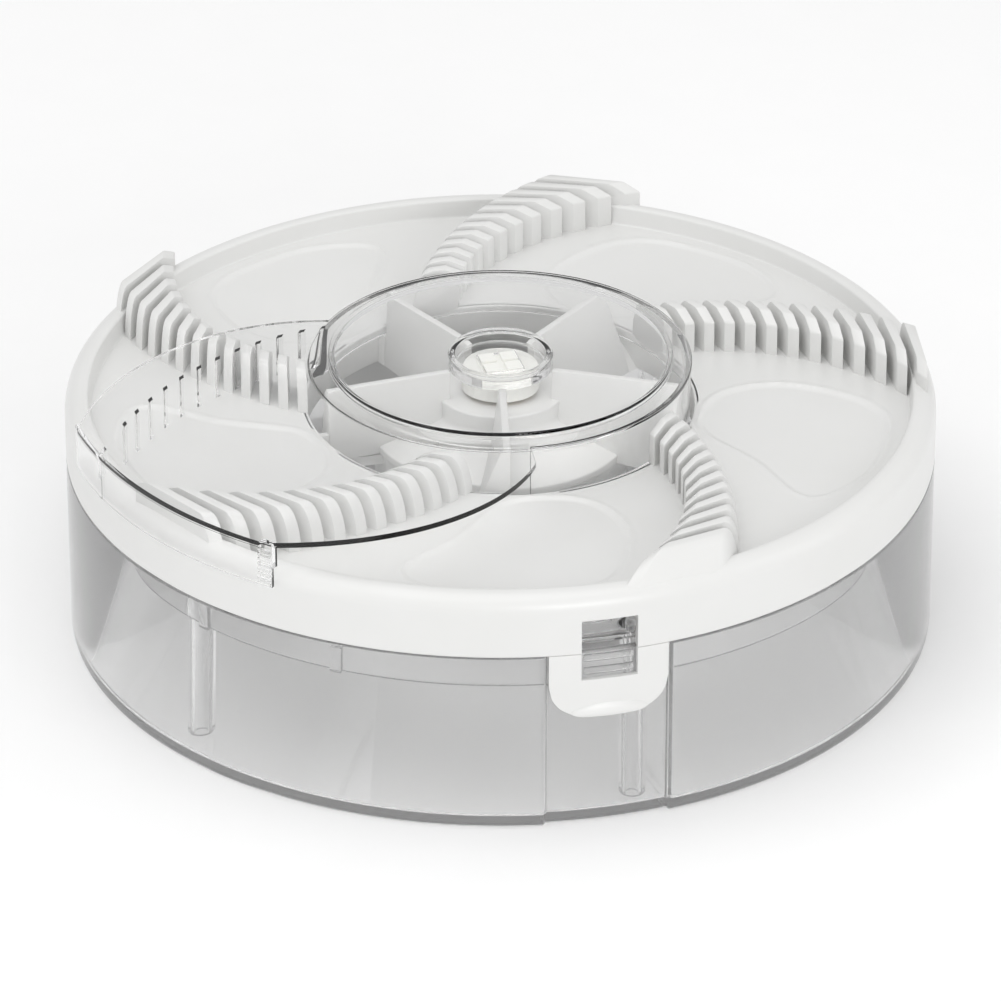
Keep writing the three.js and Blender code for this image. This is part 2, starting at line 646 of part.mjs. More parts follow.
function makeIdler() {
  const smallPhase = 180 + 180 / IDLER_SMALL;
  const bigTop = bigGearZ + BIG_GEAR_T;
  const big = gear(IDLER_BIG, MOTOR_DIR, bigGearZ, bigTop, AXLE_R + GAP);
  const small = gear(IDLER_SMALL, smallPhase, bigTop - 0.5, outGearZ + OUT_GEAR_T, AXLE_R + GAP);
  return move(join(big, small), idler.x, idler.y);
}
function makePinion() {
  const phase = MOTOR_DIR + 180 + 180 / PINION_TEETH;
  const bore = MOTOR_SHAFT_R + GAP;
  return move(gear(PINION_TEETH, phase, bigGearZ - 0.4, bigGearZ + BIG_GEAR_T + 0.6, bore), motor.x, motor.y);
}
function makeMotor() {
  const low = motorTop - MOTOR_H;
  const can = turned([
    [0, low + 0.8], [MOTOR_R - 1, low + 0.8], [MOTOR_R - 1, low], [MOTOR_R, low + 0.6],
    [MOTOR_R, motorTop - 0.8], [MOTOR_R - 0.8, motorTop], [0, motorTop],
  ], 40);
  let body = cut(can, rod(MOTOR_SHAFT_R + GAP, motorTop - 4, motorTop + 1, 16));
  body = move(body, motor.x, motor.y);
  for (const [x, y] of motorScrews()) {
    body = cut(body, move(rod(SCREW_R + GAP, motorTop - 3, motorTop + 1, 16), x, y));
  }
  return body;
}
function motorScrews() {
  return [135, 315].map((a) => {
    const p = polar(MOTOR_SCREW_CIRCLE, a);
    return [motor.x + p.x, motor.y + p.y];
  });
}
function makeGearPlate() {
  let body = rod(POD_R - POD_WALL - GAP, gearPlateLow, gearPlateTop, 48);
  body = cut(body, move(rod(3.2, gearPlateLow - 1, gearPlateTop + 1, 24), motor.x, motor.y));
  body = cut(body, move(rod(AXLE_R + GAP, gearPlateLow + 0.6, gearPlateTop + 1, 16), idler.x, idler.y));
  for (const [x, y] of motorScrews()) {
    body = cut(body, move(rod(SCREW_R + GAP, gearPlateLow - 1, gearPlateTop + 1, 16), x, y));
  }
  // notch that lets the leads past
  const wire = polar(LEAD_R, LEAD_A);
  return cut(body, move(rod(2.2, gearPlateLow - 1, gearPlateTop + 1, 16), wire.x, wire.y));
}
const EAR_CIRCLE = 31.0;
const EAR_T = 2.2;
function podScrews() {
  return [0, 2, 4].map((j) => {
    const p = polar(EAR_CIRCLE, SPOKE_A0 + 72 * j - SPOKE_LEAN / 2);
    return [p.x, p.y];
  });
}
function makePod() {
  const inner = POD_R - POD_WALL;
  let body = turned([
    [0, podBottom], [POD_R - 2, podBottom], [POD_R, podBottom + 2], [POD_R, podTop], [inner, podTop],
    [inner, gearPlateLow - GAP], [inner - 1.5, gearPlateLow - GAP], [inner - 1.5, podBottom + 2.6],
    [inner - 2.5, podBottom + POD_WALL], [0, podBottom + POD_WALL],
  ], 32);
  podScrews().forEach(([x, y]) => {
    const a = deg(Math.atan2(y, x));
    const arm = block(POD_R - 1.0, EAR_CIRCLE, -3.0, 3.0, podTop - EAR_T, podTop);
    const pad = move(rod(3.0, podTop - EAR_T, podTop, 20), EAR_CIRCLE, 0);
    body = join(body, turnZ(join(arm, pad), a));
    body = cut(body, move(rod(SCREW_R + GAP, podTop - 4, podTop + 1, 16), x, y));
  });
  const slot = block(inner - 2, POD_R + 1, -2.4, 2.4, podTop - EAR_T, podTop + 1);
  return cut(body, turnZ(slot, LEAD_A));
}

// ---- battery, charging and switch ---------------------------------------------------------------
const trayInX = CELL_L / 2 + 3.0;
const trayInY = CELL_R + 0.8;
const trayFloor = plateUnder - GAP - 2 * CELL_R - 3.0 - TRAY_WALL;
const trayY = WELL_R + TRAY_AWAY + TRAY_WALL + trayInY; // centre of the cell, behind the hub
const trayEarTop = wellBottom + 1.6;
const TRAY_EAR = 4.0;
const TRAY_EAR_T = 2.0;
const NOTCH_X = -16.2; // where the leads cross the tray's walls
function trayScrews() {
  const x = trayInX + TRAY_WALL + TRAY_EAR;
  return [[-x, trayY], [x, trayY]];
}
function makeTray() {
  const x = trayInX + TRAY_WALL;
  const y = trayInY + TRAY_WALL;
  const top = plateUnder - GAP;
  const outer = block(-x, x, trayY - y, trayY + y, trayFloor, top);
  const inner = block(-trayInX, trayInX, trayY - trayInY, trayY + trayInY, trayFloor + TRAY_WALL, top + 1);
  let body = cut(outer, inner);
  for (const side of [-1, 1]) {
    const reach = x + TRAY_EAR;
    const low = trayEarTop - TRAY_EAR_T;
    const arm = block(x - 0.5, reach, -3, 3, low, trayEarTop);
    const ear = cut(join(arm, move(rod(3, low, trayEarTop, 20), reach, 0)),
      move(rod(SCREW_R + GAP, low - 1, trayEarTop + 1, 16), reach, 0));
    body = join(body, move(turnZ(ear, side < 0 ? 180 : 0), 0, trayY));
  }
  // gaps in the walls for the leads
  const notch = block(NOTCH_X - 2, NOTCH_X + 2, trayY - y - 1, trayY + y + 1, top - 3.2, top + 1);
  return cut(body, notch);
}
const cellZ = trayFloor + TRAY_WALL + 0.5 + CELL_R;
function makeCell() {
  const r = CELL_R;
  const end = CELL_L / 2;
  const can = turned([
    [0, -end], [r - 0.5, -end], [r, -end + 0.5], [r, end - 1.6], [r - 0.8, end - 1],
    [2.8, end - 1], [2.8, end], [0, end],
  ], 32);
  return move(alongX(can), 0, trayY, cellZ);
}
function makeContact(side) {
  const x = side * (CELL_L / 2 + 1.5);
  const plate = block(x - 0.25, x + 0.25, trayY - 5, trayY + 5, cellZ - 5, cellZ + 5);
  const nose = alongX(rod(1.6, -0.5, 0.5, 16));
  return join(plate, move(nose, x - side * 0.6, trayY, cellZ));
}
const BOARD_T = 1.2;
const BOARD_L = 10.9;
const BOARD_HALF = 8.0;
const boardZ = bandBottom + 2.9;
const boardTop = boardZ + BOARD_T;
const boardOut = bandIn - 0.9;
const boardIn = boardOut - BOARD_L;
const boardHoles = [-6, 6].map((y) => [boardIn + 2.3, y]);
// A place on the charge board or behind the switch, in the object's own axes.
function around(x, y, a) {
  return new THREE.Vector2(x, y).rotateAround(new THREE.Vector2(0, 0), rad(a));
}
function boardScrews() {
  return boardHoles.map(([x, y]) => around(x, y, PORT_A).toArray());
}
function makeBoard() {
  let body = block(boardIn, boardOut, -BOARD_HALF, BOARD_HALF, boardZ, boardTop);
  for (const [x, y] of boardHoles) {
    body = cut(body, move(rod(SCREW_R + GAP, boardZ - 1, boardTop + 1, 16), x, y));
  }
  return turnZ(body, PORT_A);
}
const PORT_W = 8.9;
const PORT_H = 3.2;
const PORT_ASIDE = -1.5; // leaves room for the light
const LED_ASIDE = 5.9;
const LED_R = 1.1;
const portMid = boardTop + GAP + PORT_H / 2;
function portBlock(grow, r0, r1) {
  const half = PORT_W / 2 + grow;
  const tall = PORT_H / 2 + grow;
  return block(r0, r1, PORT_ASIDE - half, PORT_ASIDE + half, portMid - tall, portMid + tall);
}
function makePort() {
  const shell = portBlock(0, OUTER_R - 7.5, OUTER_R - 0.2);
  const mouth = portBlock(-0.4, OUTER_R - 6.5, OUTER_R + 1);
  const half = PORT_W / 2 - 1.8;
  const [y0, y1] = [PORT_ASIDE - half, PORT_ASIDE + half];
  const tongue = block(OUTER_R - 7, OUTER_R - 1.5, y0, y1, portMid - 0.35, portMid + 0.35);
  return turnZ(join(cut(shell, mouth), tongue), PORT_A);
}
function ledRod(r, r0, r1) {
  return move(alongX(rod(r, r0, r1, 20)), 0, LED_ASIDE, portMid);
}
const KNOB_W = 3.6;
const KNOB_H = 2.6;
const KNOB_TRAVEL = 3.0;
const KNOB_OUT = 0.7;
const switchZ = bandBottom + 5.2;
const knobPathHalf = (KNOB_W + KNOB_TRAVEL) / 2;
const switchBack = bandIn - 6;
function knobPath(grow, r0 = OUTER_R - 5, r1 = OUTER_R + 3) {
  const half = knobPathHalf + grow;
  const tall = KNOB_H / 2 + grow;
  return block(r0, r1, -half, half, switchZ - tall, switchZ + tall);
}
function makeSwitchBody() {
  const front = bandIn - GAP - 0.5;
  const shell = block(switchBack, front, -6.2, 6.2, switchZ - 2.3, switchZ + 2.3);
  return turnZ(cut(shell, knobPath(GAP, front - 2.1, front + 1)), SWITCH_A);
}
function makeKnob() {
  const start = -knobPathHalf;
  const h = KNOB_H / 2;
  let body = block(bandIn - 2.4, OUTER_R + KNOB_OUT, start, start + KNOB_W, switchZ - h, switchZ + h);
  for (const share of [0.25, 0.5, 0.75]) {
    const y = start + share * KNOB_W;
    const groove = block(OUTER_R + 0.3, OUTER_R + 2, y - 0.2, y + 0.2, switchZ - KNOB_H, switchZ + KNOB_H);
    body = cut(body, groove);
  }
  return turnZ(body, SWITCH_A);
}
// A round lead through a few points.
const LEAD_WIRE_R = 0.65;
function lead(points) {
  const way = points.map(([x, y, z]) => new THREE.Vector3(x, y, z));
  const extrudePath = new THREE.CatmullRomCurve3(way, false, 'centripetal');
  const ring = [];
  for (let a = 0; a < 360; a += 45) {
    ring.push(new THREE.Vector2(LEAD_WIRE_R * Math.cos(rad(a)), LEAD_WIRE_R * Math.sin(rad(a))));
  }
  const steps = 3 * (points.length - 1);
  return solid(new THREE.ExtrudeGeometry(new THREE.Shape(ring), { steps, bevelEnabled: false, extrudePath }));
}
// From under the motor, up the pod's wall, out through its slot and into the tray.
function motorLead() {
  const up = polar(LEAD_R, LEAD_A);
  const over = polar(LEAD_R * 1.12, LEAD_A, podTop - 1.3);
  const beyond = polar(36.4, LEAD_A, podTop - 1.2);
  const out = polar(WELL_R + 4.3, LEAD_A, podTop - 0.6);
  const low = motorTop - MOTOR_H - 1.0;
  return lead([
    [motor.x - 6, motor.y + 4, low], [motor.x - 10, motor.y + 12, low - 0.2],
    [up.x - 1, up.y - 5, low + 1.5], [up.x, up.y, low + 8], [up.x, up.y, podTop - 5],
    over.toArray(), beyond.toArray(), out.toArray(),
    [NOTCH_X, trayY - trayInY - 2, plateUnder - 2.2], [NOTCH_X, trayY - 2, plateUnder - 1.6],
  ]);
}
function chargeLead() {
  const end = around(boardIn + 0.4, 0, PORT_A);
  const outside = trayY + trayInY;
  const pastTray = Math.max(end.y - 3, outside + TRAY_WALL + 1.1);
  return lead([
    [NOTCH_X, trayY + 1, plateUnder - 1.6], [NOTCH_X, outside + 1, plateUnder - 1.8],
    [end.x + 4, pastTray, plateUnder - 2.0], [end.x, end.y, boardTop + 1.1],
  ]);
}
function switchLead() {
  const start = around(switchBack - 0.6, 0, SWITCH_A);
  const end = around(boardIn - 0.9, -3, PORT_A);
  return lead([
    [start.x, start.y, switchZ], [start.x - 4, start.y - 2.2, switchZ], [0, boardIn - 1, switchZ],
    [end.x + 3, end.y + 0.5, switchZ + 0.2], [end.x, end.y, switchZ],
  ]);
}

// ---- the object ---------------------------------------------------------------------------------
add('bowl', makeBowl(), CLEAR, 0.05, 0, 0.35);
add('housing', makeHousing(), WHITE, 0.35);
add('latch_front', makeLatch(-90), WHITE, 0.35);
add('latch_back', makeLatch(90), WHITE, 0.35);
add('guard_ring', makeGuard(), CLEAR, 0.05, 0, 0.35);
add('cover', makeCover(), CLEAR, 0.05, 0, 0.3);
add('drive_spindle', makeSpindle(), NATURAL, 0.4);
add('spindle_bush', makeBush(), BRASS, 0.3, 1);
const outGearTop = outGearZ + OUT_GEAR_T;
add('output_gear', gear(OUTPUT_TEETH, 0, outGearZ, outGearTop, SHAFT_R + GAP), NATURAL, 0.45);
add('spindle_washer', tube(SHAFT_R + GAP, 5.2, outGearTop + GAP, outGearTop + 0.9), STEEL, 0.3, 1);
add('idler_gear', makeIdler(), NATURAL, 0.45);
const axle = rod(AXLE_R, gearPlateLow + 0.9, wellBottom + 1.1, 16);
add('idler_axle', move(axle, idler.x, idler.y), STEEL, 0.2, 1);
add('motor_pinion', makePinion(), BRASS, 0.3, 1);
const motorShaft = rod(MOTOR_SHAFT_R, motorTop - 3.6, outGearZ - GAP, 16);
add('motor_shaft', move(motorShaft, motor.x, motor.y), STEEL, 0.2, 1);
add('motor', makeMotor(), STEEL, 0.3, 1);
motorScrews().forEach(([x, y], i) => {
  const pin = turnX(screw(0, 0, 0, 4.0), 180);
  add(`motor_screw_${i + 1}`, move(pin, x, y, gearPlateTop + GAP), STEEL, 0.3, 1);
});
add('gear_plate', makeGearPlate(), NATURAL, 0.45);
add('drive_pod', makePod(), WHITE, 0.4);
function addScrews(name, places, headTop, length) {
  places.forEach(([x, y], i) => add(`${name}_${i + 1}`, screw(x, y, headTop, length), STEEL, 0.3, 1));
}
addScrews('pod_screw', podScrews(), podTop - EAR_T - GAP, 6.2);
add('battery_tray', makeTray(), WHITE, 0.4);
addScrews('tray_screw', trayScrews(), trayEarTop - TRAY_EAR_T - GAP, 5.4);
add('battery_cell', makeCell(), 0x2f6f9f, 0.4);
[-1, 1].forEach((s, i) => add(`battery_contact_${i + 1}`, makeContact(s), STEEL, 0.3, 1));
add('charge_board', makeBoard(), 0x1f5f3a, 0.5);
addScrews('board_screw', boardScrews(), boardZ - GAP, 4.2);
add('charge_port', makePort(), STEEL, 0.25, 1);
add('charge_light', turnZ(ledRod(LED_R, boardOut - 2, OUTER_R + 0.1), PORT_A), 0xe8e8e8, 0.2);
add('switch_body', makeSwitchBody(), 0x303030, 0.5);
add('switch_knob', makeKnob(), 0x2a2a2a, 0.5);
add('motor_lead', motorLead(), 0xb02020, 0.5);
add('charge_lead', chargeLead(), 0xb02020, 0.5);
add('switch_lead', switchLead(), 0x202020, 0.5);

export default group;
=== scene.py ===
# %% [markdown]
# Rotating electric fly trap.
# A clear bowl stands on the table and catches the flies. A white moulded top carries five curved rows
# of thin fins, and a clear cover turns slowly over them and sweeps flies into the open well. The
# measured model is loaded first. It gives every place and size, and the pieces built here stand in
# for its plain shapes with rounded edges, smooth curves and real finishes.

# %% Load the measured model
import math
import bmesh
import bpy
import numpy as np
from mathutils import Matrix, Vector


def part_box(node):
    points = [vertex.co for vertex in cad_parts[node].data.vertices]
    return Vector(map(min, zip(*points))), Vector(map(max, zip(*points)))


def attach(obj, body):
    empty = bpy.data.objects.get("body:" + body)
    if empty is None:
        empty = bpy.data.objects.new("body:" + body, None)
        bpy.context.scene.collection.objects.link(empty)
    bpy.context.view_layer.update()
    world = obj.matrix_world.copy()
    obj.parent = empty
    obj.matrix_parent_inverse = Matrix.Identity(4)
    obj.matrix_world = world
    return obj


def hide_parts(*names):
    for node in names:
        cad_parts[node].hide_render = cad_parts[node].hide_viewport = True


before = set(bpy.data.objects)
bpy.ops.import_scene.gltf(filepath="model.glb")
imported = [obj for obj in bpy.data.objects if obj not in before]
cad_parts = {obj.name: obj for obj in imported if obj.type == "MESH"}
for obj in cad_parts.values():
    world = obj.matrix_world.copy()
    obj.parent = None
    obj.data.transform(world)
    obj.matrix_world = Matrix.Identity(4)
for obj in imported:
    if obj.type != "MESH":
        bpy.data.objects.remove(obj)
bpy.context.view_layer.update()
scene = bpy.context.scene

# %% [markdown]
# Sizes are in millimetres, as a moulder's drawing has them, and one factor turns them to metres. The
# outer sizes are read from the measured model, so the pieces here can't drift away from it.

# %% Sizes read from the model
MM = 0.001
ROWS = 5  # of fins, of recesses and of blades


def low(node):
    return [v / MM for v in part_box(node)[0]]


def high(node):
    return [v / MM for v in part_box(node)[1]]


GAP = 0.3
OUTER_R = high("housing")[0]
BOWL_H = high("bowl")[2]
BAND_Z = BOWL_H + GAP
LID_TOP = high("cover")[2]
TAB_TIP = low("latch_front")[2]
TAB_W = high("latch_front")[0] - low("latch_front")[0]
LEG_Z = low("guard_ring")[2]
print("outer radius", OUTER_R, "bowl height", BOWL_H, "band from", BAND_Z, "lid top", LID_TOP)

# %% Sizes of the moulded detail
PLATE_Z = BAND_Z + 9.5
PLATE_T = 2.0
SHOULDER_R = 3.9
CREST_R = OUTER_R - SHOULDER_R
CREST_Z = PLATE_Z + 4.2
SHOULDER_Z = CREST_Z - SHOULDER_R
RIM_FOOT_R = OUTER_R - 5.9
WELL_R = 41.2
WELL_WALL = 1.8
WELL_BOTTOM = PLATE_Z - 8.0
HUB_R = 13.4
HUB_TOP = PLATE_Z + 3.0
FIN_TOP = PLATE_Z + 9.0
FIN_EDGE_Z = PLATE_Z + 7.1
FIN_OUTER_R = OUTER_R - 2.1
FIN_PITCH = 3.92
FIN_T = 2.0
FIN_COUNT = 13
VANE_A0 = 17.4
SPOKE_A0 = -101.9
VANE_STEP = 360.0 / ROWS


# %% [markdown]
# Two small helpers turn lists of points into meshes. `turned` sweeps a closed outline round the
# upright axis, as a lathe does, and lets the radius change with the angle, which makes the flat
# panels behind the latches without any cutting. `rounded` puts a real radius on each corner of an
# outline, because an injection mould has no perfectly sharp edge and the edge is what catches light.

# %% Helpers for meshes
def polar(r, a, z=0.0):
    return (r * math.cos(math.radians(a)), r * math.sin(math.radians(a)), z)


def across(r):
    """Share of the way from the well's edge to the outside."""
    return (r - WELL_R) / (OUTER_R - WELL_R)


def make_object(name, points, faces, sharp=32.0):
    mesh = bpy.data.meshes.new(name)
    mesh.from_pydata([[c * MM for c in p] for p in points], [], faces)
    work = bmesh.new()
    work.from_mesh(mesh)
    bmesh.ops.remove_doubles(work, verts=work.verts, dist=1e-7)
    bmesh.ops.recalc_face_normals(work, faces=work.faces)
    work.to_mesh(mesh)
    work.free()
    mesh.polygons.foreach_set("use_smooth", [True] * len(mesh.polygons))
    mesh.set_sharp_from_angle(angle=math.radians(sharp))
    obj = bpy.data.objects.new(name, mesh)
    scene.collection.objects.link(obj)
    return obj


def rounded(corners, steps=4):
    """Corners are (u, v, radius). Each one with a radius becomes a short arc."""
    outline = []
    count = len(corners)
    for i, (u, v, radius) in enumerate(corners):
        here = Vector((u, v))
        if radius <= 0:
            outline.append((u, v))
            continue
        before = Vector(corners[i - 1][:2]) - here
        after = Vector(corners[(i + 1) % count][:2]) - here
        angle = before.angle(after)
        reach = min(radius / math.tan(angle / 2), 0.49 * before.length, 0.49 * after.length)
        start = here + before.normalized() * reach
        end = here + after.normalized() * reach
        for k in range(steps + 1):
            t = k / steps
            p = start * (1 - t) ** 2 + here * 2 * t * (1 - t) + end * t**2
            outline.append((p.x, p.y))
    return outline


def turned(name, outline, steps=240, angles=None, shape=None, sharp=32.0):
    """Sweeps a closed outline of (radius, height) once round Z."""
    angles = angles or [360.0 * k / steps for k in range(steps)]
    points = []
    for a in angles:
        for r, z in outline:
            r2, z2 = shape(r, z, a) if shape else (r, z)
            points.append(polar(r2, a, z2))
    n, m = len(outline), len(angles)
    faces = []
    for k in range(m):
        for j in range(n):
            a0, a1 = k * n + j, k * n + (j + 1) % n
            b0, b1 = ((k + 1) % m) * n + j, ((k + 1) % m) * n + (j + 1) % n
            faces.append((a0, b0, b1, a1))
    return make_object(name, points, faces, sharp)


def loft(name, rows, sharp=32.0):
    """A solid through closed rows of points, with its two ends capped."""
    n = len(rows[0])
    points = [p for row in rows for p in row]
    faces = [tuple(range(n)), tuple((len(rows) - 1) * n + j for j in reversed(range(n)))]
    for i in range(len(rows) - 1):
        for j in range(n):
            k = (j + 1) % n
            faces.append((i * n + j, (i + 1) * n + j, (i + 1) * n + k, i * n + k))
    return make_object(name, points, faces, sharp)


def arc_slab(name, r0, r1, start, end, z0, z1, outward=12, along=24):
    """A slab between two radii whose two ends follow a curve: angle = start(r) and end(r)."""
    points = []
    for z in (z0, z1):
        for i in range(outward + 1):
            r = r0 + (r1 - r0) * i / outward
            for j in range(along + 1):
                points.append(polar(r, start(r) + (end(r) - start(r)) * j / along, z))
    row = along + 1
    layer = (outward + 1) * row
    faces = []
    for i in range(outward):
        for j in range(along):
            p = i * row + j
            faces.append((p, p + 1, p + row + 1, p + row))
            q = p + layer
            faces.append((q, q + row, q + row + 1, q + 1))
    rim = list(range(row))
    rim += [i * row + along for i in range(1, outward + 1)]
    rim += [outward * row + j for j in range(along - 1, -1, -1)]
    rim += [i * row for i in range(outward - 1, 0, -1)]
    for p, q in zip(rim, rim[1:] + rim[:1]):
        faces.append((p, p + layer, q + layer, q))
    return make_object(name, points, faces)


def block(name, lo, hi):
    """A plain box between two corners."""
    corners = [(x, y, z) for x in (lo[0], hi[0]) for y in (lo[1], hi[1]) for z in (lo[2], hi[2])]
    faces = [(0, 1, 3, 2), (4, 6, 7, 5), (0, 4, 5, 1), (2, 3, 7, 6), (0, 2, 6, 4), (1, 5, 7, 3)]
    return make_object(name, corners, faces)


def join(name, objects):
    """Puts several meshes in one object, each still its own closed shell."""
    work = bmesh.new()
    for obj in objects:
        work.from_mesh(obj.data)
    mesh = bpy.data.meshes.new(name)
    work.to_mesh(mesh)
    work.free()
    for obj in objects:
        bpy.data.objects.remove(obj, do_unlink=True)
    joined = bpy.data.objects.new(name, mesh)
    scene.collection.objects.link(joined)
    return joined


def bake(obj, sharp=32.0):
    """Applies the modifiers, so that the piece is a plain mesh."""
    graph = bpy.context.evaluated_depsgraph_get()
    mesh = bpy.data.meshes.new_from_object(obj.evaluated_get(graph))
    obj.modifiers.clear()
    obj.data = mesh
    mesh.polygons.foreach_set("use_smooth", [True] * len(mesh.polygons))
    mesh.set_sharp_from_angle(angle=math.radians(sharp))
    return obj


def boolean(obj, tools, operation, sharp=32.0):
    """Joins obj with the tools or cuts them from it, and removes the tools."""
    for tool in tools:
        step = obj.modifiers.new("boolean", "BOOLEAN")
        step.operation = operation
        step.solver = "EXACT"
        step.object = tool
    bake(obj, sharp)
    for tool in tools:
        bpy.data.objects.remove(tool, do_unlink=True)
    return obj


def soften(obj, width, segments=2, angle=30.0):
    """Rounds every edge sharper than the angle by a small width in millimetres."""
    step = obj.modifiers.new("soften", "BEVEL")
    step.width = width * MM
    step.segments = segments
    step.limit_method = "ANGLE"
    step.angle_limit = math.radians(angle)
    step.harden_normals = False
    return bake(obj, 40.0)


# %% [markdown]
# A Geometry Nodes tree sets copies of one piece round the upright axis. The fins and the blades of the
# well repeat at 72 degrees and the catch bars at 180, so one tree with named inputs serves them all.
# The copies are realized at the end, because a mesh made of instances would be lost in an export.

# %% One tree that repeats a piece round the axis
def repeat_tree():
    tree = bpy.data.node_groups.new("copies_round_axis", "GeometryNodeTree")
    face = tree.interface
    face.new_socket("Geometry", in_out="INPUT", socket_type="NodeSocketGeometry")
    face.new_socket("Copies", in_out="INPUT", socket_type="NodeSocketInt")
    face.new_socket("First angle", in_out="INPUT", socket_type="NodeSocketFloat")
    face.new_socket("Step angle", in_out="INPUT", socket_type="NodeSocketFloat")
    face.new_socket("Finish", in_out="INPUT", socket_type="NodeSocketMaterial")
    face.new_socket("Geometry", in_out="OUTPUT", socket_type="NodeSocketGeometry")
    nodes, link = tree.nodes, tree.links.new
    enter = nodes.new("NodeGroupInput")
    leave = nodes.new("NodeGroupOutput")
    places = nodes.new("GeometryNodeMeshLine")
    places.mode = "OFFSET"
    places.inputs["Offset"].default_value = (0.0, 0.0, 0.0)
    link(enter.outputs["Copies"], places.inputs["Count"])
    index = nodes.new("GeometryNodeInputIndex")
    turn = nodes.new("ShaderNodeMath")
    turn.operation = "MULTIPLY_ADD"
    link(index.outputs[0], turn.inputs[0])
    link(enter.outputs["Step angle"], turn.inputs[1])
    link(enter.outputs["First angle"], turn.inputs[2])
    upright = nodes.new("ShaderNodeCombineXYZ")
    link(turn.outputs[0], upright.inputs["Z"])
    copies = nodes.new("GeometryNodeInstanceOnPoints")
    link(places.outputs["Mesh"], copies.inputs["Points"])
    link(enter.outputs["Geometry"], copies.inputs["Instance"])
    link(upright.outputs[0], copies.inputs["Rotation"])
    real = nodes.new("GeometryNodeRealizeInstances")
    link(copies.outputs[0], real.inputs[0])
    finish = nodes.new("GeometryNodeSetMaterial")
    link(real.outputs[0], finish.inputs["Geometry"])
    link(enter.outputs["Finish"], finish.inputs["Material"])
    link(finish.outputs[0], leave.inputs[0])
    return tree


COPIES = repeat_tree()


def repeat(obj, copies, first, step, finish):
    """Sets copies of obj round Z. Angles are in degrees."""
    modifier = obj.modifiers.new("copies", "NODES")
    modifier.node_group = COPIES
    values = {
        "Copies": copies,
        "First angle": math.radians(first),
        "Step angle": math.radians(step),
        "Finish": finish,
    }
    for item in COPIES.interface.items_tree:
        if item.in_out == "INPUT" and item.name in values:
            modifier[item.identifier] = values[item.name]
    return bake(obj)


# %% [markdown]
# Materials. Colours are written as the sRGB hex values a paint chart would give, and one function
# turns them to the linear values that the shaders work in.

# %% Helpers for materials
def colour(code):
    def linear(v):
        return v / 12.92 if v <= 0.04045 else ((v + 0.055) / 1.055) ** 2.4

    return tuple(linear(int(code[i : i + 2], 16) / 255) for i in (0, 2, 4)) + (1.0,)


def new_material(name):
    mat = bpy.data.materials.new(name)
    mat.use_nodes = True
    mat.node_tree.nodes.clear()
    return mat


def add(mat, kind, inputs=None, **settings):
    """Adds a node with its settings. An input that is a socket gets linked."""
    n = mat.node_tree.nodes.new(kind)
    for key, value in settings.items():
        setattr(n, key, value)
    for key, value in (inputs or {}).items():
        if isinstance(value, bpy.types.NodeSocket):
            mat.node_tree.links.new(value, n.inputs[key])
        else:
            n.inputs[key].default_value = value
    return n


def per_metre(size_mm):
    """Noise scale whose features are about this many millimetres across."""
    return 1.0 / (size_mm * MM)


# %% [markdown]
# White ABS, injection moulded in a polished tool with a light spark texture. It is bright and even,
# with soft broad highlights, a trace of flow in the gloss, and a fine grain too small to see singly.
# The grain is drawn at 0.5 mm, coarser than the real 0.1 mm, so that it still shows.

# %% White ABS
def white_abs(name="white_moulded_abs", base="E1E1E0", shade="DCDCDA", gloss=0.32):
    mat = new_material(name)
    place = add(mat, "ShaderNodeTexCoord").outputs["Object"]
    flow = add(mat, "ShaderNodeTexNoise", {"Vector": place, "Scale": per_metre(18.0), "Detail": 3.0})
    grain = add(mat, "ShaderNodeTexNoise", {"Vector": place, "Scale": per_metre(0.5), "Detail": 2.0})
    rough = add(mat, "ShaderNodeMapRange", {
        "Value": flow.outputs["Fac"], "To Min": gloss - 0.05, "To Max": gloss + 0.07})
    tone = add(mat, "ShaderNodeMix", {
        "Factor": flow.outputs["Fac"], "A": colour(base), "B": colour(shade)}, data_type="RGBA")
    bump = add(mat, "ShaderNodeBump", {
        "Height": grain.outputs["Fac"], "Strength": 0.05, "Distance": 0.05 * MM})
    body = add(mat, "ShaderNodeBsdfPrincipled", {
        "Base Color": tone.outputs["Result"], "Roughness": rough.outputs["Result"],
        "Normal": bump.outputs["Normal"], "IOR": 1.54})
    add(mat, "ShaderNodeOutputMaterial", {"Surface": body.outputs[0]})
    return mat


# %% [markdown]
# Clear styrene (SAN), the brittle bright plastic of food boxes. It bends light like glass, so its
# edges gather dark and bright lines. A deep moulding of it isn't perfectly clear: part of the light is
# scattered in the wall, which gives the bowl its pale grey veil. Lamps shine through it in life. A path
# tracer is slow to find that light, so rays that look for a lamp pass straight through.

# %% Clear styrene
def clear_styrene(name, tint, rough, clarity):
    mat = new_material(name)
    place = add(mat, "ShaderNodeTexCoord").outputs["Object"]
    flow = add(mat, "ShaderNodeTexNoise", {"Vector": place, "Scale": per_metre(35.0), "Detail": 1.0})
    wave = add(mat, "ShaderNodeBump", {
        "Height": flow.outputs["Fac"], "Strength": 0.12, "Distance": 0.4 * MM})
    body = add(mat, "ShaderNodeBsdfPrincipled", {
        "Base Color": colour(tint), "Roughness": rough, "IOR": 1.5,
        "Transmission Weight": clarity, "Normal": wave.outputs["Normal"]})
    lamp = add(mat, "ShaderNodeBsdfTransparent", {"Color": colour("FFFFFF")})
    ray = add(mat, "ShaderNodeLightPath")
    mix = add(mat, "ShaderNodeMixShader", {
        0: ray.outputs["Is Shadow Ray"], 1: body.outputs[0], 2: lamp.outputs[0]})
    add(mat, "ShaderNodeOutputMaterial", {"Surface": mix.outputs[0]})
    return mat


# %% [markdown]
# The small inner pieces: bright steel, brass, natural acetal gears, the green board, the cell's
# shrink wrap and the lead's PVC. Each has its own roughness and a fine pattern at its real scale.

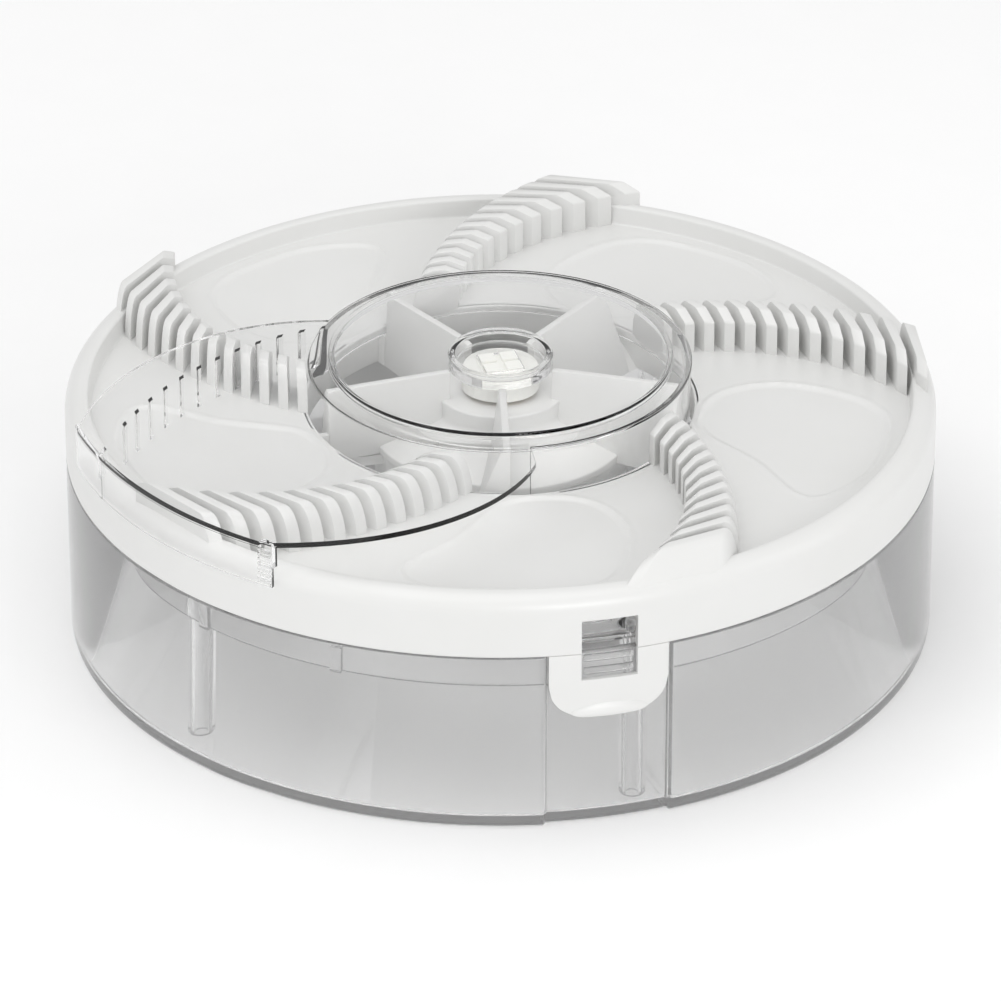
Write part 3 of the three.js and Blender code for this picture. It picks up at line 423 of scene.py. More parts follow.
# %% Metals and small plastics
def metal(name, base, rough, brush_mm):
    mat = new_material(name)
    place = add(mat, "ShaderNodeTexCoord").outputs["Object"]
    stretch = add(mat, "ShaderNodeMapping", {"Vector": place, "Scale": (1.0, 1.0, 0.12)})
    lines = add(mat, "ShaderNodeTexNoise", {
        "Vector": stretch.outputs[0], "Scale": per_metre(brush_mm), "Detail": 3.0})
    spread = add(mat, "ShaderNodeMapRange", {
        "Value": lines.outputs["Fac"], "To Min": rough - 0.08, "To Max": rough + 0.1})
    body = add(mat, "ShaderNodeBsdfPrincipled", {
        "Base Color": colour(base), "Metallic": 1.0, "Roughness": spread.outputs["Result"]})
    add(mat, "ShaderNodeOutputMaterial", {"Surface": body.outputs[0]})
    return mat


def plastic(name, base, shade, rough, grain_mm, ior=1.5):
    mat = new_material(name)
    place = add(mat, "ShaderNodeTexCoord").outputs["Object"]
    grain = add(mat, "ShaderNodeTexNoise", {
        "Vector": place, "Scale": per_metre(grain_mm), "Detail": 3.0})
    tone = add(mat, "ShaderNodeMix", {
        "Factor": grain.outputs["Fac"], "A": colour(base), "B": colour(shade)}, data_type="RGBA")
    bump = add(mat, "ShaderNodeBump", {
        "Height": grain.outputs["Fac"], "Strength": 0.1, "Distance": 0.05 * MM})
    body = add(mat, "ShaderNodeBsdfPrincipled", {
        "Base Color": tone.outputs["Result"], "Roughness": rough, "IOR": ior,
        "Normal": bump.outputs["Normal"]})
    add(mat, "ShaderNodeOutputMaterial", {"Surface": body.outputs[0]})
    return mat


ABS = white_abs()
WHITE_ACETAL = white_abs("white_acetal", base="F2F2EE", shade="EBEBE6", gloss=0.36)
CLEAR = clear_styrene("clear_moulded_styrene", "FEFEFE", 0.02, clarity=0.88)
RING_CLEAR = clear_styrene("clear_ring_styrene", "FEFEFE", 0.02, clarity=0.97)
COVER_CLEAR = clear_styrene("clear_cover_styrene", "FCFCFC", 0.01, clarity=1.0)
STEEL = metal("nickel_plated_steel", "C4C6C8", 0.24, 0.6)
BRASS = metal("turned_brass", "D2AE62", 0.26, 0.5)
ACETAL = plastic("natural_acetal", "ECE8DA", "E2DDCC", 0.42, 2.0, 1.48)
BOARD = plastic("solder_mask_on_fr4", "1E5A38", "174A2D", 0.3, 1.2)
WRAP = plastic("cell_shrink_wrap", "2C6A9E", "265F90", 0.28, 4.0)
BLACK = plastic("black_moulded_abs", "1B1B1D", "232326", 0.42, 0.8)
LAMP = plastic("milky_light_pipe", "E9EEEA", "DDE4DF", 0.15, 3.0)
RED_PVC = plastic("red_pvc_sleeve", "A81E1C", "96201E", 0.45, 1.5)
BLACK_PVC = plastic("black_pvc_sleeve", "202022", "2A2A2C", 0.45, 1.5)
print("materials", len(bpy.data.materials))


# %% Give a finished piece its finish and body, and hide the measured parts it stands in for
def coat(obj, material):
    """Gives the whole piece one material."""
    obj.data.materials.clear()
    obj.data.materials.append(material)


def finish_piece(obj, material, body, slot, *nodes):
    if not obj.data.materials:
        obj.data.materials.append(material)
    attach(obj, body)
    if nodes:
        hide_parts(*nodes)
    print(obj.name, len(obj.data.polygons), "faces")
    return obj


# %% [markdown]
# The catch bowl is one clear moulding. Its wall steps in behind each latch over the whole height, so
# the tab can hang flush. The step is a change of radius with angle, and extra slices are put where
# the step happens so that its edge stays crisp.

# %% Catch bowl
PANEL_DEEP = OUTER_R - high("bowl")[1]
PANEL_SIDE = 0.7
PANEL_HALF = math.degrees(math.asin((TAB_W / 2 + PANEL_SIDE) / OUTER_R))
BOWL_WALL = 2.0
BOWL_FLOOR = 2.0
FOOT_ROUND = 1.6
LIP_ROUND = 0.35
PANEL_STEP = 0.5  # degrees over which the wall steps in


def panel(a):
    """1 behind a latch, 0 elsewhere, with a steep step between."""
    nearest = min(abs((a + 90 + 180) % 360 - 180), abs((a - 90 + 180) % 360 - 180))
    t = min(1.0, max(0.0, (PANEL_HALF + PANEL_STEP / 2 - nearest) / PANEL_STEP))
    return t * t * (3 - 2 * t)


def wall_angles(steps):
    angles = {round(360.0 * k / steps, 4) for k in range(steps)}
    for centre in (90.0, 270.0):
        for side in (-1, 1):
            for k in range(-4, 5):
                angles.add(round(centre + side * (PANEL_HALF + k * 0.0625), 4))
    return sorted(angles)


def stepped(r, z, a):
    return (r - PANEL_DEEP * panel(a) if r > OUTER_R - 5 else r, z)


def make_bowl():
    inner = OUTER_R - BOWL_WALL
    outline = rounded([
        (0.0, 0.0, 0), (OUTER_R, 0.0, FOOT_ROUND), (OUTER_R, BOWL_H, LIP_ROUND),
        (inner, BOWL_H, LIP_ROUND), (inner, BOWL_FLOOR, FOOT_ROUND), (0.0, BOWL_FLOOR, 0)])
    bowl = turned("clear_bowl", outline, angles=wall_angles(288), shape=stepped)
    return finish_piece(bowl, CLEAR, "bowl_body", "clear_plastic", "bowl")


# %% [markdown]
# Two catch bars stand on each panel, just behind the tab's window. They are short clear ribs with
# rounded edges, moulded with the bowl.

# %% Catch bars
CATCH_DEPTH = 0.4
BAR_W = 10.6
BAR_H = 1.6
BARS_BELOW = (4.9, 1.9)  # lower edge of each bar, counted down from the bowl's top


def make_catch_bars():
    face = OUTER_R - PANEL_DEEP
    bars = []
    half = math.degrees(BAR_W / 2 / OUTER_R)
    for z in (BOWL_H - down for down in BARS_BELOW):
        bar = arc_slab("bar", face - 0.2, face + CATCH_DEPTH, lambda r: -half, lambda r: half,
                       z, z + BAR_H, 2, 12)
        bars.append(soften(bar, 0.15))
    pair = join("bowl_catch_bars", bars)
    repeat(pair, 2, -90.0, 180.0, RING_CLEAR)
    return finish_piece(pair, RING_CLEAR, "bowl_body", "clear_plastic")


make_bowl()
make_catch_bars()


# %% [markdown]
# The guard ring hangs inside the bowl's mouth and stops flies from climbing out. Two pairs of square
# ribs stand out from its skirt, and five hollow legs reach down almost to the bowl's floor. Each leg
# has its own distance from the outside and its own angle.

# %% Guard ring
GUARD_R = OUTER_R - 4.3
GUARD_T = 1.2
GUARD_LOW = BOWL_H - 8.7
GUARD_TOP = BAND_Z + 2.2
GUARD_LIP = OUTER_R - 2.6
FLANGE_W = 3.8
LEG_R = 2.75
LEG_BORE = 1.3
PAD_R = LEG_R + 1.6
LEGS = [(8.5, -151.5), (7.5, -85.5), (12.5, -19.1), (8.5, 53.0), (8.5, 128.0)]
RIBS = [-147.0, -126.0, 33.0, 54.0]
RIB_W = 2.6
RIB_H = 5.75
RIB_OUT = 0.8


def make_leg(inset, angle):
    """A hollow leg that hangs from a round pad, its inset counted from the outside."""
    leg = turned("leg", rounded([
        (LEG_BORE, LEG_Z, 0.2), (LEG_R, LEG_Z, 0.4), (LEG_R, GUARD_TOP - GUARD_T, 0.6),
        (PAD_R, GUARD_TOP - GUARD_T, 0.2), (PAD_R, GUARD_TOP - 0.05, 0.2), (0.0, GUARD_TOP - 0.05, 0),
        (0.0, GUARD_TOP - 1.5, 0), (LEG_BORE, GUARD_TOP - 1.5, 0.2)]), steps=36)
    leg.data.transform(Matrix.Translation([c * MM for c in polar(OUTER_R - inset, angle)]))
    return leg


def make_rib(angle):
    half = math.degrees(RIB_W / 2 / GUARD_R)
    rib = arc_slab("rib", GUARD_R - 0.6, GUARD_R + RIB_OUT, lambda r: angle - half, lambda r: angle + half,
                   GUARD_LOW + 0.05, GUARD_LOW + 0.05 + RIB_H, 1, 2)
    return soften(rib, 0.2)


def make_guard():
    inner = GUARD_R - GUARD_T
    flange_low = GUARD_TOP - GUARD_T
    ring = turned("clear_guard_ring", rounded([
        (inner, GUARD_LOW, 0.3), (GUARD_R, GUARD_LOW, 0.3), (GUARD_R, flange_low, 0.2),
        (GUARD_LIP, flange_low, 0.2), (GUARD_LIP, GUARD_TOP, 0.3), (inner - FLANGE_W, GUARD_TOP, 0.3),
        (inner - FLANGE_W, flange_low, 0.3), (inner, flange_low, 0.4)]))
    guard = boolean(ring, [make_leg(*leg) for leg in LEGS] + [make_rib(a) for a in RIBS], "UNION")
    coat(guard, RING_CLEAR)
    return finish_piece(guard, RING_CLEAR, "top_body", "clear_plastic", "guard_ring")


make_guard()


# %% [markdown]
# The white top is one big moulding. It is built here as the parts a toolmaker would name: the band
# with its rounded rim, the plate with five bait recesses, the well with hub and spokes, and the fins.

# %% Band and rim
BAND_WALL = 2.2
WINDOW_W = 11.8
WINDOW_TOP = 7.7
PORT_A = 107.0
SWITCH_A = 73.0
UNDER_PLATE = 0.06
WALL_HOLE = 0.35
KNOB_TRAVEL = 3.0


def make_band():
    shoulder = []
    for k in range(9):
        t = math.radians(90.0 * k / 8)
        shoulder.append((CREST_R + SHOULDER_R * math.cos(t), SHOULDER_Z + SHOULDER_R * math.sin(t)))
    outline = [(OUTER_R, BAND_Z + 0.25), *shoulder]
    lip = PLATE_Z - UNDER_PLATE
    outline += rounded([
        (CREST_R - 0.2, CREST_Z, 0), (RIM_FOOT_R + 0.9, CREST_Z - 0.2, 0.9), (RIM_FOOT_R + 0.3, lip, 0.7),
        (RIM_FOOT_R - 1.2, lip, 0)])
    outline += [
        (RIM_FOOT_R - 1.2, PLATE_Z - PLATE_T), (RIM_FOOT_R + 1.2, PLATE_Z - PLATE_T),
        (CREST_R, CREST_Z - 2.4), (OUTER_R - BAND_WALL, SHOULDER_Z), (OUTER_R - BAND_WALL, BAND_Z + 0.1),
        (OUTER_R - BAND_WALL + 0.2, BAND_Z), (OUTER_R - 0.25, BAND_Z)]
    band = turned("band", outline, steps=288)
    windows = []
    for a in (-90.0, 90.0):
        hole = arc_slab("hole", OUTER_R - 5, OUTER_R + 3, lambda r: -math.degrees(WINDOW_W / 2 / r),
                        lambda r: math.degrees(WINDOW_W / 2 / r), BAND_Z - 2, BAND_Z + WINDOW_TOP, 2, 8)
        hole.data.transform(Matrix.Rotation(math.radians(a), 4, "Z"))
        windows.append(hole)
    return boolean(band, windows + wall_openings(), "DIFFERENCE")


def wall_openings():
    """Cuts for the charge port, its light and the switch, in the back of the band."""
    tools = []
    for node in ("charge_port", "charge_light"):
        tools.append(node_cutter(node, WALL_HOLE, PORT_A))
    tools.append(node_cutter("switch_knob", WALL_HOLE, SWITCH_A, travel=KNOB_TRAVEL))
    return tools


def node_cutter(node, spare, turn, travel=0.0):
    """A box round a node, square to the radius at that angle, which runs out through the wall."""
    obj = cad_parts[node]
    back = Matrix.Rotation(math.radians(-turn), 4, "Z")
    local = [back @ obj.matrix_world @ v.co for v in obj.data.vertices]
    lo = [min(p[i] for p in local) / MM - spare for i in range(3)]
    hi = [max(p[i] for p in local) / MM + spare for i in range(3)]
    lo[0], hi[0] = OUTER_R - 4.0, OUTER_R + 3.0
    hi[1] += travel
    box = block("cutter", lo, hi)
    box.data.transform(Matrix.Rotation(math.radians(turn), 4, "Z"))
    return box


# %% [markdown]
# The plate is a fine grid in rings, and each point's height comes from its distance to the nearest
# recess outline. That gives the shallow pan and the narrow bright bead round it in one smooth skin.

# %% Plate with bait recesses
RECESS_OUTLINE = [
    (0.77, -64.3), (0.41, -57.0), (0.1, -48.8), (0.05, -37.8), (0.12, -28.3), (0.28, -24.3),
    (0.46, -24.7), (0.66, -28.3), (0.83, -33.0), (0.91, -40.0), (0.91, -54.0)]
RECESS_DEPTH = 0.45
EDGE_W = 1.1  # over which the recess falls
BEAD_H = 0.22
BEAD_AT = 0.9  # outside the recess outline
BEAD_SPREAD = 0.45


def smooth_loop(points, per_span=8):
    """A smooth closed curve through a few points."""
    curve = []
    n = len(points)
    for i in range(n):
        p0, p1, p2, p3 = (points[(i + k) % n] for k in (-1, 0, 1, 2))
        for s in range(per_span):
            t = s / per_span
            curve.append(0.5 * (2 * p1 + (p2 - p0) * t + (2 * p0 - 5 * p1 + 4 * p2 - p3) * t**2
                                + (3 * p1 - p0 - 3 * p2 + p3) * t**3))
    return np.array(curve)


def signed_distance(xy, loop):
    """Distance from each point to a closed loop, negative inside it."""
    a, b = loop, np.roll(loop, -1, axis=0)
    best = np.full(len(xy), 1e9)
    inside = np.zeros(len(xy), dtype=bool)
    for p, q in zip(a, b):
        d = q - p
        t = np.clip(((xy - p) @ d) / (d @ d), 0, 1)
        best = np.minimum(best, np.linalg.norm(xy - p - t[:, None] * d, axis=1))
        crosses = (p[1] > xy[:, 1]) != (q[1] > xy[:, 1])
        with np.errstate(divide="ignore", invalid="ignore"):
            side = xy[:, 0] < (q[0] - p[0]) * (xy[:, 1] - p[1]) / (q[1] - p[1]) + p[0]
        inside ^= crosses & side
    return np.where(inside, -best, best)


def plate_height(distance):
    """Height above the plate's face, from the distance to a recess outline."""
    t = np.clip((distance + 0.5 * EDGE_W) / EDGE_W, 0, 1)
    pan = -RECESS_DEPTH * (1 - t * t * (3 - 2 * t))
    bead = BEAD_H * np.exp(-((distance - BEAD_AT) / BEAD_SPREAD) ** 2)
    return pan + bead


def make_plate():
    rings, slices = 96, 600
    radii = np.linspace(WELL_R + 0.5, RIM_FOOT_R + 0.1, rings)
    angles = np.radians(np.arange(slices) * 360.0 / slices)
    grid_r, grid_a = np.meshgrid(radii, angles, indexing="ij")
    xy = np.stack([grid_r * np.cos(grid_a), grid_r * np.sin(grid_a)], axis=-1).reshape(-1, 2)
    width = RIM_FOOT_R - WELL_R
    control = np.array([polar(WELL_R + t * width, VANE_A0 + a)[:2] for t, a in RECESS_OUTLINE])
    loop = smooth_loop(control)
    z = np.zeros(len(xy))
    for k in range(ROWS):
        t = math.radians(VANE_STEP * k)
        spin = np.array([[math.cos(t), -math.sin(t)], [math.sin(t), math.cos(t)]])
        z += plate_height(signed_distance(xy, loop @ spin.T))
    points = [(x, y, PLATE_Z + h) for (x, y), h in zip(xy, z)]
    faces = []
    for i in range(rings - 1):
        for j in range(slices):
            k = (j + 1) % slices
            faces.append((i * slices + j, (i + 1) * slices + j, (i + 1) * slices + k, i * slices + k))
    under = PLATE_Z - PLATE_T
    base = len(points)
    for r in (RIM_FOOT_R + 0.1, WELL_R + 0.5):
        for a in angles:
            points.append((r * math.cos(a), r * math.sin(a), under))
    for j in range(slices):
        k = (j + 1) % slices
        top_out = (rings - 1) * slices
        faces.append((top_out + j, base + j, base + k, top_out + k))
        faces.append((base + j, base + slices + j, base + slices + k, base + k))
        faces.append((base + slices + j, j, k, base + slices + k))
    return make_object("plate", points, faces)


# %% [markdown]
# The well: a short wall under the plate's hole, a hub that carries the drive, and five thin blades
# between them. The blades stand as high as the fins, so the cover's skirt sweeps flies past them.

# %% Well, hub and blades
CEILING_R = 27.5
BLADE_T = 1.6
BLADE_LEAN = 10.0
BLADE_TOP = FIN_TOP - 0.1
BUSH_HOLE_R = 5.3


def make_well():
    wall = turned("wall", rounded([
        (WELL_R, WELL_BOTTOM, 0.3), (WELL_R + WELL_WALL, WELL_BOTTOM, 0.3),
        (WELL_R + WELL_WALL, PLATE_Z - 0.6, 0), (WELL_R + 0.9, PLATE_Z, 0), (WELL_R, PLATE_Z, 0.5)]))
    hub = turned("hub", rounded([
        (BUSH_HOLE_R, WELL_BOTTOM, 0), (CEILING_R, WELL_BOTTOM, 0.4), (CEILING_R, WELL_BOTTOM + 1.8, 0.5),
        (HUB_R, WELL_BOTTOM + 6, 2.0), (HUB_R, HUB_TOP, 0.6), (BUSH_HOLE_R, HUB_TOP, 0.3)]), steps=120)
    return [wall, hub]


def make_blade():
    """One blade along +X: a thin upright top and a foot that leans back."""
    rows = []
    r_in, r_out = 11.4, WELL_R - 2.4
    for i in range(13):
        r = r_in + (WELL_R + 0.6 - r_in) * i / 12
        half = math.degrees(BLADE_T / 2 / r)
        top = BLADE_TOP if r <= r_out else PLATE_Z - 1.5
        rows.append([
            polar(r, -half - BLADE_LEAN, WELL_BOTTOM), polar(r, half, WELL_BOTTOM),
            polar(r, half, top), polar(r, -half, top)])
    low_rows = [row for row in rows if math.hypot(*row[2][:2]) > r_out]
    high_rows = [row for row in rows if math.hypot(*row[2][:2]) <= r_out]
    edge = [polar(r_out, math.degrees(math.atan2(p[1], p[0])), p[2]) for p in high_rows[-1]]
    blade = loft("blade", high_rows + [edge])
    step = [[p if p[2] < PLATE_Z - 2 else (p[0], p[1], PLATE_Z - 1.5) for p in edge]]
    tail = loft("tail", step + low_rows)
    return join("blades", [soften(blade, 0.3), tail])


# %% [markdown]
# The fins. Every row is a curved ridge cut into thirteen thin rings, so each fin is an arc about the
# axis with the same skyline: an upright end, a short slope, a flat top and a rounded fall. The skyline
# gets longer towards the rim. One row is made and rounded, and four copies of it stand round the axis.
# The row over the front latch is made apart, because a smooth block takes the place of two of its fins.

# %% Skyline of a fin
def vane_edge(r):
    t = across(r)
    return -0.5 - 21.6 * t - 13.2 * t * t


def top_run(r):
    t = max(0.0, across(r) - 0.21)
    return 7.2 + 23.4 * t * t


FALL_RUN = 3.8
SLOPE_RUN = 3.8
END_DROP = 7.0
FIN_FOOT = PLATE_Z - 0.8
FIN_ROUND = 0.32


def skyline(r, top, along=8, fall_steps=7):
    """Points (arc length, height) round one fin."""
    run = top_run(r)
    rise = top - FIN_FOOT
    edge = FIN_FOOT + rise * (FIN_EDGE_Z - FIN_FOOT) / (FIN_TOP - FIN_FOOT)
    start = rounded([
        (0.0, FIN_FOOT, 0), (0.0, edge, 0.9), (SLOPE_RUN, top, 1.6), (run, top, 0)], 4)
    fall = []
    for k in range(1, fall_steps + 1):
        t = math.pi / 2 * k / fall_steps
        fall.append((run + FALL_RUN * math.sin(t), top - rise * (1 - math.cos(t))))
    return start + fall


def fin_row_at(r, top):
    return [polar(r, vane_edge(r) + math.degrees(s / r), z) for s, z in skyline(r, top)]


def make_fin(i):
    outer = FIN_OUTER_R - i * FIN_PITCH
    foot = [fin_row_at(outer - FIN_T, FIN_TOP), fin_row_at(outer, FIN_TOP)]
    return loft("fin", foot)


def make_end_block():
    """The row over the front latch ends in one smooth block that runs down into the rim."""
    start = FIN_OUTER_R - FIN_PITCH - FIN_T
    span = OUTER_R - 0.8 - start
    rows = []
    for k in range(15):
        t = k / 14
        drop = END_DROP * (max(0.0, t - 0.22) / 0.78) ** 1.6
        rows.append(fin_row_at(start + t * span, FIN_TOP - drop))
    return loft("end_block", rows, sharp=40.0)


# %% Assemble the white top
def make_top():
    row = join("fins", [make_fin(i) for i in range(FIN_COUNT)])
    soften(row, FIN_ROUND, 2)
    repeat(row, ROWS - 1, VANE_A0, VANE_STEP, ABS)
    front = join("front_fins", [make_fin(i) for i in range(2, FIN_COUNT)])
    soften(front, FIN_ROUND, 2)
    end = make_end_block()
    soften(end, 0.5, 3)
    for piece in (front, end):
        repeat(piece, 1, VANE_A0 + (ROWS - 1) * VANE_STEP, 0.0, ABS)
    blades = make_blade()
    repeat(blades, ROWS, SPOKE_A0, VANE_STEP, ABS)
    top = join("white_top", [make_band(), make_plate(), *make_well(), blades, row, front, end])
    coat(top, ABS)
    top.data.polygons.foreach_set("material_index", [0] * len(top.data.polygons))
    return finish_piece(top, ABS, "top_body", "white_plastic", "housing")


make_top()


# %% [markdown]
# The latch tabs hang from the band. Each is a springy curved plate with a window in front of the
# bowl's catch bars, and a small lip at the tip for a fingertip. The flat outline is laid out in
# columns and wrapped round the band's radius.

# %% Latch tabs
TAB_T = 1.2
TAB_CORNER = 7.0
LIP_W = 16.4
LIP_OUT = 0.75
WINDOW_LOW = BAND_Z - 6.1


def tab_bottom(s):
    """Height of the lower edge at a distance s from the middle."""
    inset = abs(s) - (TAB_W / 2 - TAB_CORNER)
    if inset <= 0:
        return TAB_TIP + 0.35
    inset = min(inset, TAB_CORNER)
    return TAB_TIP + 0.35 + TAB_CORNER - math.sqrt(max(0.0, TAB_CORNER**2 - inset**2))


def make_tab():
    top_z = BAND_Z
    half = TAB_W / 2
    stops = sorted({round(-half + TAB_W * k / 44, 4) for k in range(45)} | {-WINDOW_W / 2, WINDOW_W / 2})
    rows_low, rows_high = 8, 4
    points, faces = [], []
    index = {}

    def point(s, k):
        key = (s, k)
        if key not in index:
            low_z = tab_bottom(s)
            if k <= rows_low:
                z = low_z + (WINDOW_LOW - low_z) * k / rows_low
            else:
                z = WINDOW_LOW + (top_z - WINDOW_LOW) * (k - rows_low) / rows_high
            index[key] = len(points)
            points.append(polar(OUTER_R, math.degrees(s / OUTER_R), z))
        return index[key]

    for left, right in zip(stops, stops[1:]):
        in_window = left >= -WINDOW_W / 2 - 1e-6 and right <= WINDOW_W / 2 + 1e-6
        for k in range(rows_low if in_window else rows_low + rows_high):
            faces.append((point(left, k), point(right, k), point(right, k + 1), point(left, k + 1)))
    tab = make_object("tab", points, faces)
    wall = tab.modifiers.new("thickness", "SOLIDIFY")
    wall.thickness = TAB_T * MM
    wall.offset = -1.0
    bake(tab)
    soften(tab, 0.28, 3, 50.0)
    return tab


def make_lip():
    """The thumb lip: a low dome with a blunt lower edge, which fades out to both sides."""
    rows = []
    for k in range(-14, 15):
        t = k / 14
        fade = math.sqrt(max(0.0, 1 - t * t))
        a = math.degrees(t * LIP_W / 2 / OUTER_R)
        base = tab_bottom(a * math.pi / 180 * OUTER_R)
        low_z = base - 0.35 * fade
        back = OUTER_R - 0.5
        out = OUTER_R + LIP_OUT * fade
        shape = [
            (back, 0.05), (out - 0.25 * fade, 0.0), (out, 0.3 * fade), (out - 0.12 * fade, 1.0 * fade + 0.05),
            (OUTER_R + 0.25 * LIP_OUT * fade, 2.6 * fade + 0.1), (back, 3.2 * fade + 0.2)]
        rows.append([polar(r, a, low_z + h) for r, h in shape])
    return loft("lip", rows, sharp=50.0)


def make_latch(name, node, angle, body):
    tab = join(name, [make_tab(), make_lip()])
    tab.data.transform(Matrix.Rotation(math.radians(angle), 4, "Z"))
    return finish_piece(tab, ABS, body, "white_plastic", node)


make_latch("front_latch_tab", "latch_front", -90.0, "latch_front_body")
make_latch("back_latch_tab", "latch_back", 90.0, "latch_back_body")


# %% [markdown]
# The turning cover is the clear piece that does the work. A round lid with a drive cup sits over the
# well, and a swept roof reaches out to the rim. Under the roof's trailing edge stands a comb whose
# teeth pass between the fins. The leading side is open, so a feeding fly is first roofed over and then
# pushed along. The parts are joined to one solid, because a clear moulding shows every inner face.

# %% Cover edges
ROOF_T = 1.2
ROOF_LOW = FIN_TOP + 0.3
ROOF_TOP = ROOF_LOW + ROOF_T
FLANGE_R = WELL_R - 0.6
DISC_R = FLANGE_R - 4.1
CUP_R = 9.7
CUP_WALL_R = CUP_R + 1.2
CUP_DEPTH = 2.6
SKIRT_OUT = OUTER_R + 1.3
SKIRT_IN = SKIRT_OUT - 1.0
SKIRT_Z = PLATE_Z + 0.5
COMB_CLEAR = 0.45
COMB_T = 1.4
CUP_FLOOR_T = 1.4
POST_RIBS = 8
SQUARE = 8.0


def trailing(r):
    t = across(r)
    return 141.7 + 31.9 * t + 11.1 * t * t


def comb_line(r):
    t = across(r)
    return 145.8 + 58.4 * t - 11.3 * t * t


def leading(r):
    t = max(0.0, across(r) - 0.113)
    return 265.1 - 30.8 * t - 14.5 * t * t


# %% Cover parts
def make_lid():
    floor = LID_TOP - CUP_DEPTH
    return turned("lid", rounded([
        (0.0, floor - CUP_FLOOR_T, 0), (CUP_WALL_R, floor - CUP_FLOOR_T, 0.5),
        (CUP_WALL_R, LID_TOP - ROOF_T, 0.4),
        (DISC_R - 1, LID_TOP - ROOF_T, 0.4), (DISC_R - 1, ROOF_LOW, 0.2), (FLANGE_R, ROOF_LOW, 0.15),
        (FLANGE_R, ROOF_TOP, 0.3), (DISC_R, ROOF_TOP, 0.3), (DISC_R, LID_TOP, 0.35),
        (CUP_WALL_R, LID_TOP, 0.3), (CUP_R, LID_TOP - 0.4, 0.3), (CUP_R - 0.3, floor, 0.5), (0.0, floor, 0)]),
        steps=180)


def make_comb():
    half = COMB_T / 2
    comb = arc_slab("comb", FLANGE_R - 1.0, SKIRT_OUT - 0.2, lambda r: comb_line(r) - math.degrees(half / r),
                    lambda r: comb_line(r) + math.degrees(half / r), PLATE_Z + 0.4, ROOF_TOP - 0.4, 60, 1)
    cutters = [arc_slab("rim_room", RIM_FOOT_R - 0.6, SKIRT_IN + 0.1, lambda r: 180.0, lambda r: 215.0,
                        PLATE_Z - 2, CREST_Z + 0.4, 1, 24)]
    for i in range(1, FIN_COUNT):
        outer = FIN_OUTER_R - i * FIN_PITCH
        far = FIN_OUTER_R if i == 1 else outer
        mid = comb_line(outer)
        cutters.append(arc_slab("slot", outer - FIN_T - COMB_CLEAR, far + COMB_CLEAR, lambda r: mid - 6,
                                lambda r: mid + 6, PLATE_Z - 2, ROOF_LOW + 0.02, 1, 6))
    return boolean(comb, cutters, "DIFFERENCE")


def make_post():
    """The upright corner at the open end of the outer skirt, ribbed so that a finger grips it."""
    edge = leading(OUTER_R)
    post = arc_slab("post", SKIRT_IN - 1.4, SKIRT_OUT - 0.35, lambda r: edge - 2.1, lambda r: edge - 0.01,
                    SKIRT_Z + 1.6, ROOF_TOP - 0.2, 1, 3)
    room = arc_slab("room", RIM_FOOT_R - 0.6, SKIRT_IN - 0.02, lambda r: edge - 20, lambda r: edge + 20,
                    PLATE_Z - 2, CREST_Z + 0.4, 1, 10)
    boolean(post, [room], "DIFFERENCE")
    pitch = (ROOF_LOW - SKIRT_Z) / POST_RIBS
    ribs = []
    for k in range(POST_RIBS):
        z = SKIRT_Z + k * pitch
        ribs.append(arc_slab("post_rib", SKIRT_OUT - 0.6, SKIRT_OUT - 0.02, lambda r: edge - 2.0,
                             lambda r: edge - 0.2, z + 0.25 * pitch, z + 0.75 * pitch, 1, 2))
    return [post, *ribs]


def make_cover():
    lid = make_lid()
    inner = FLANGE_R - 1.4
    skirt_top = ROOF_TOP - 0.3
    well_skirt = arc_slab("well_skirt", inner, FLANGE_R - 0.2, lambda r: leading(WELL_R) - 360,
                          lambda r: comb_line(WELL_R), PLATE_Z - 1.0, skirt_top, 1, 160)
    roof = arc_slab("roof", FLANGE_R - 0.9, SKIRT_OUT, trailing, leading, ROOF_LOW + 0.01, ROOF_TOP - 0.01,
                    30, 72)
    skirt = arc_slab("skirt", SKIRT_IN, SKIRT_OUT - 0.3, lambda r: trailing(OUTER_R),
                     lambda r: leading(OUTER_R), SKIRT_Z, ROOF_TOP - 0.1, 1, 60)
    cover = boolean(lid, [well_skirt, roof, skirt, *make_post(), make_comb()], "UNION")
    side = SQUARE / 2 + GAP
    floor = LID_TOP - CUP_DEPTH
    boolean(cover, [block("square", (-side, -side, floor - 3), (side, side, floor + 1))], "DIFFERENCE")
    cover.name = "clear_cover"
    coat(cover, COVER_CLEAR)
    return finish_piece(cover, COVER_CLEAR, "cover_body", "clear_plastic", "cover")


make_cover()


# %% [markdown]
# The pieces inside keep their measured shapes and get their real finishes.

# %% Finishes of the inner pieces
FINISHES = {
    STEEL: ["motor", "motor_shaft", "idler_axle", "spindle_washer", "charge_port", "battery_contact"],
    BRASS: ["spindle_bush", "motor_pinion"],
    WHITE_ACETAL: ["drive_spindle"],
    ACETAL: ["output_gear", "idler_gear", "gear_plate"],
    ABS: ["drive_pod", "battery_tray"],
    BOARD: ["charge_board"],
    WRAP: ["battery_cell"],
    BLACK: ["switch_body", "switch_knob"],
    LAMP: ["charge_light"],
    RED_PVC: ["motor_lead", "charge_lead"],
    BLACK_PVC: ["switch_lead"],
}


def finish_of(node):
    if "_screw" in node:
        return STEEL
    for material, names in FINISHES.items():
        if any(node.startswith(name) for name in names):
            return material
    return None


for node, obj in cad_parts.items():
    material = finish_of(node)
    if material:
        for place in obj.material_slots:
            place.link = "OBJECT"
            place.material = material
        if not obj.material_slots:
            obj.data.materials.append(material)

# %% [markdown]
# The stage: a pale floor that fades into the background, a large soft light overhead, a smaller one
# high in front, and an upright strip of light on each side for the reflections in the clear wall.

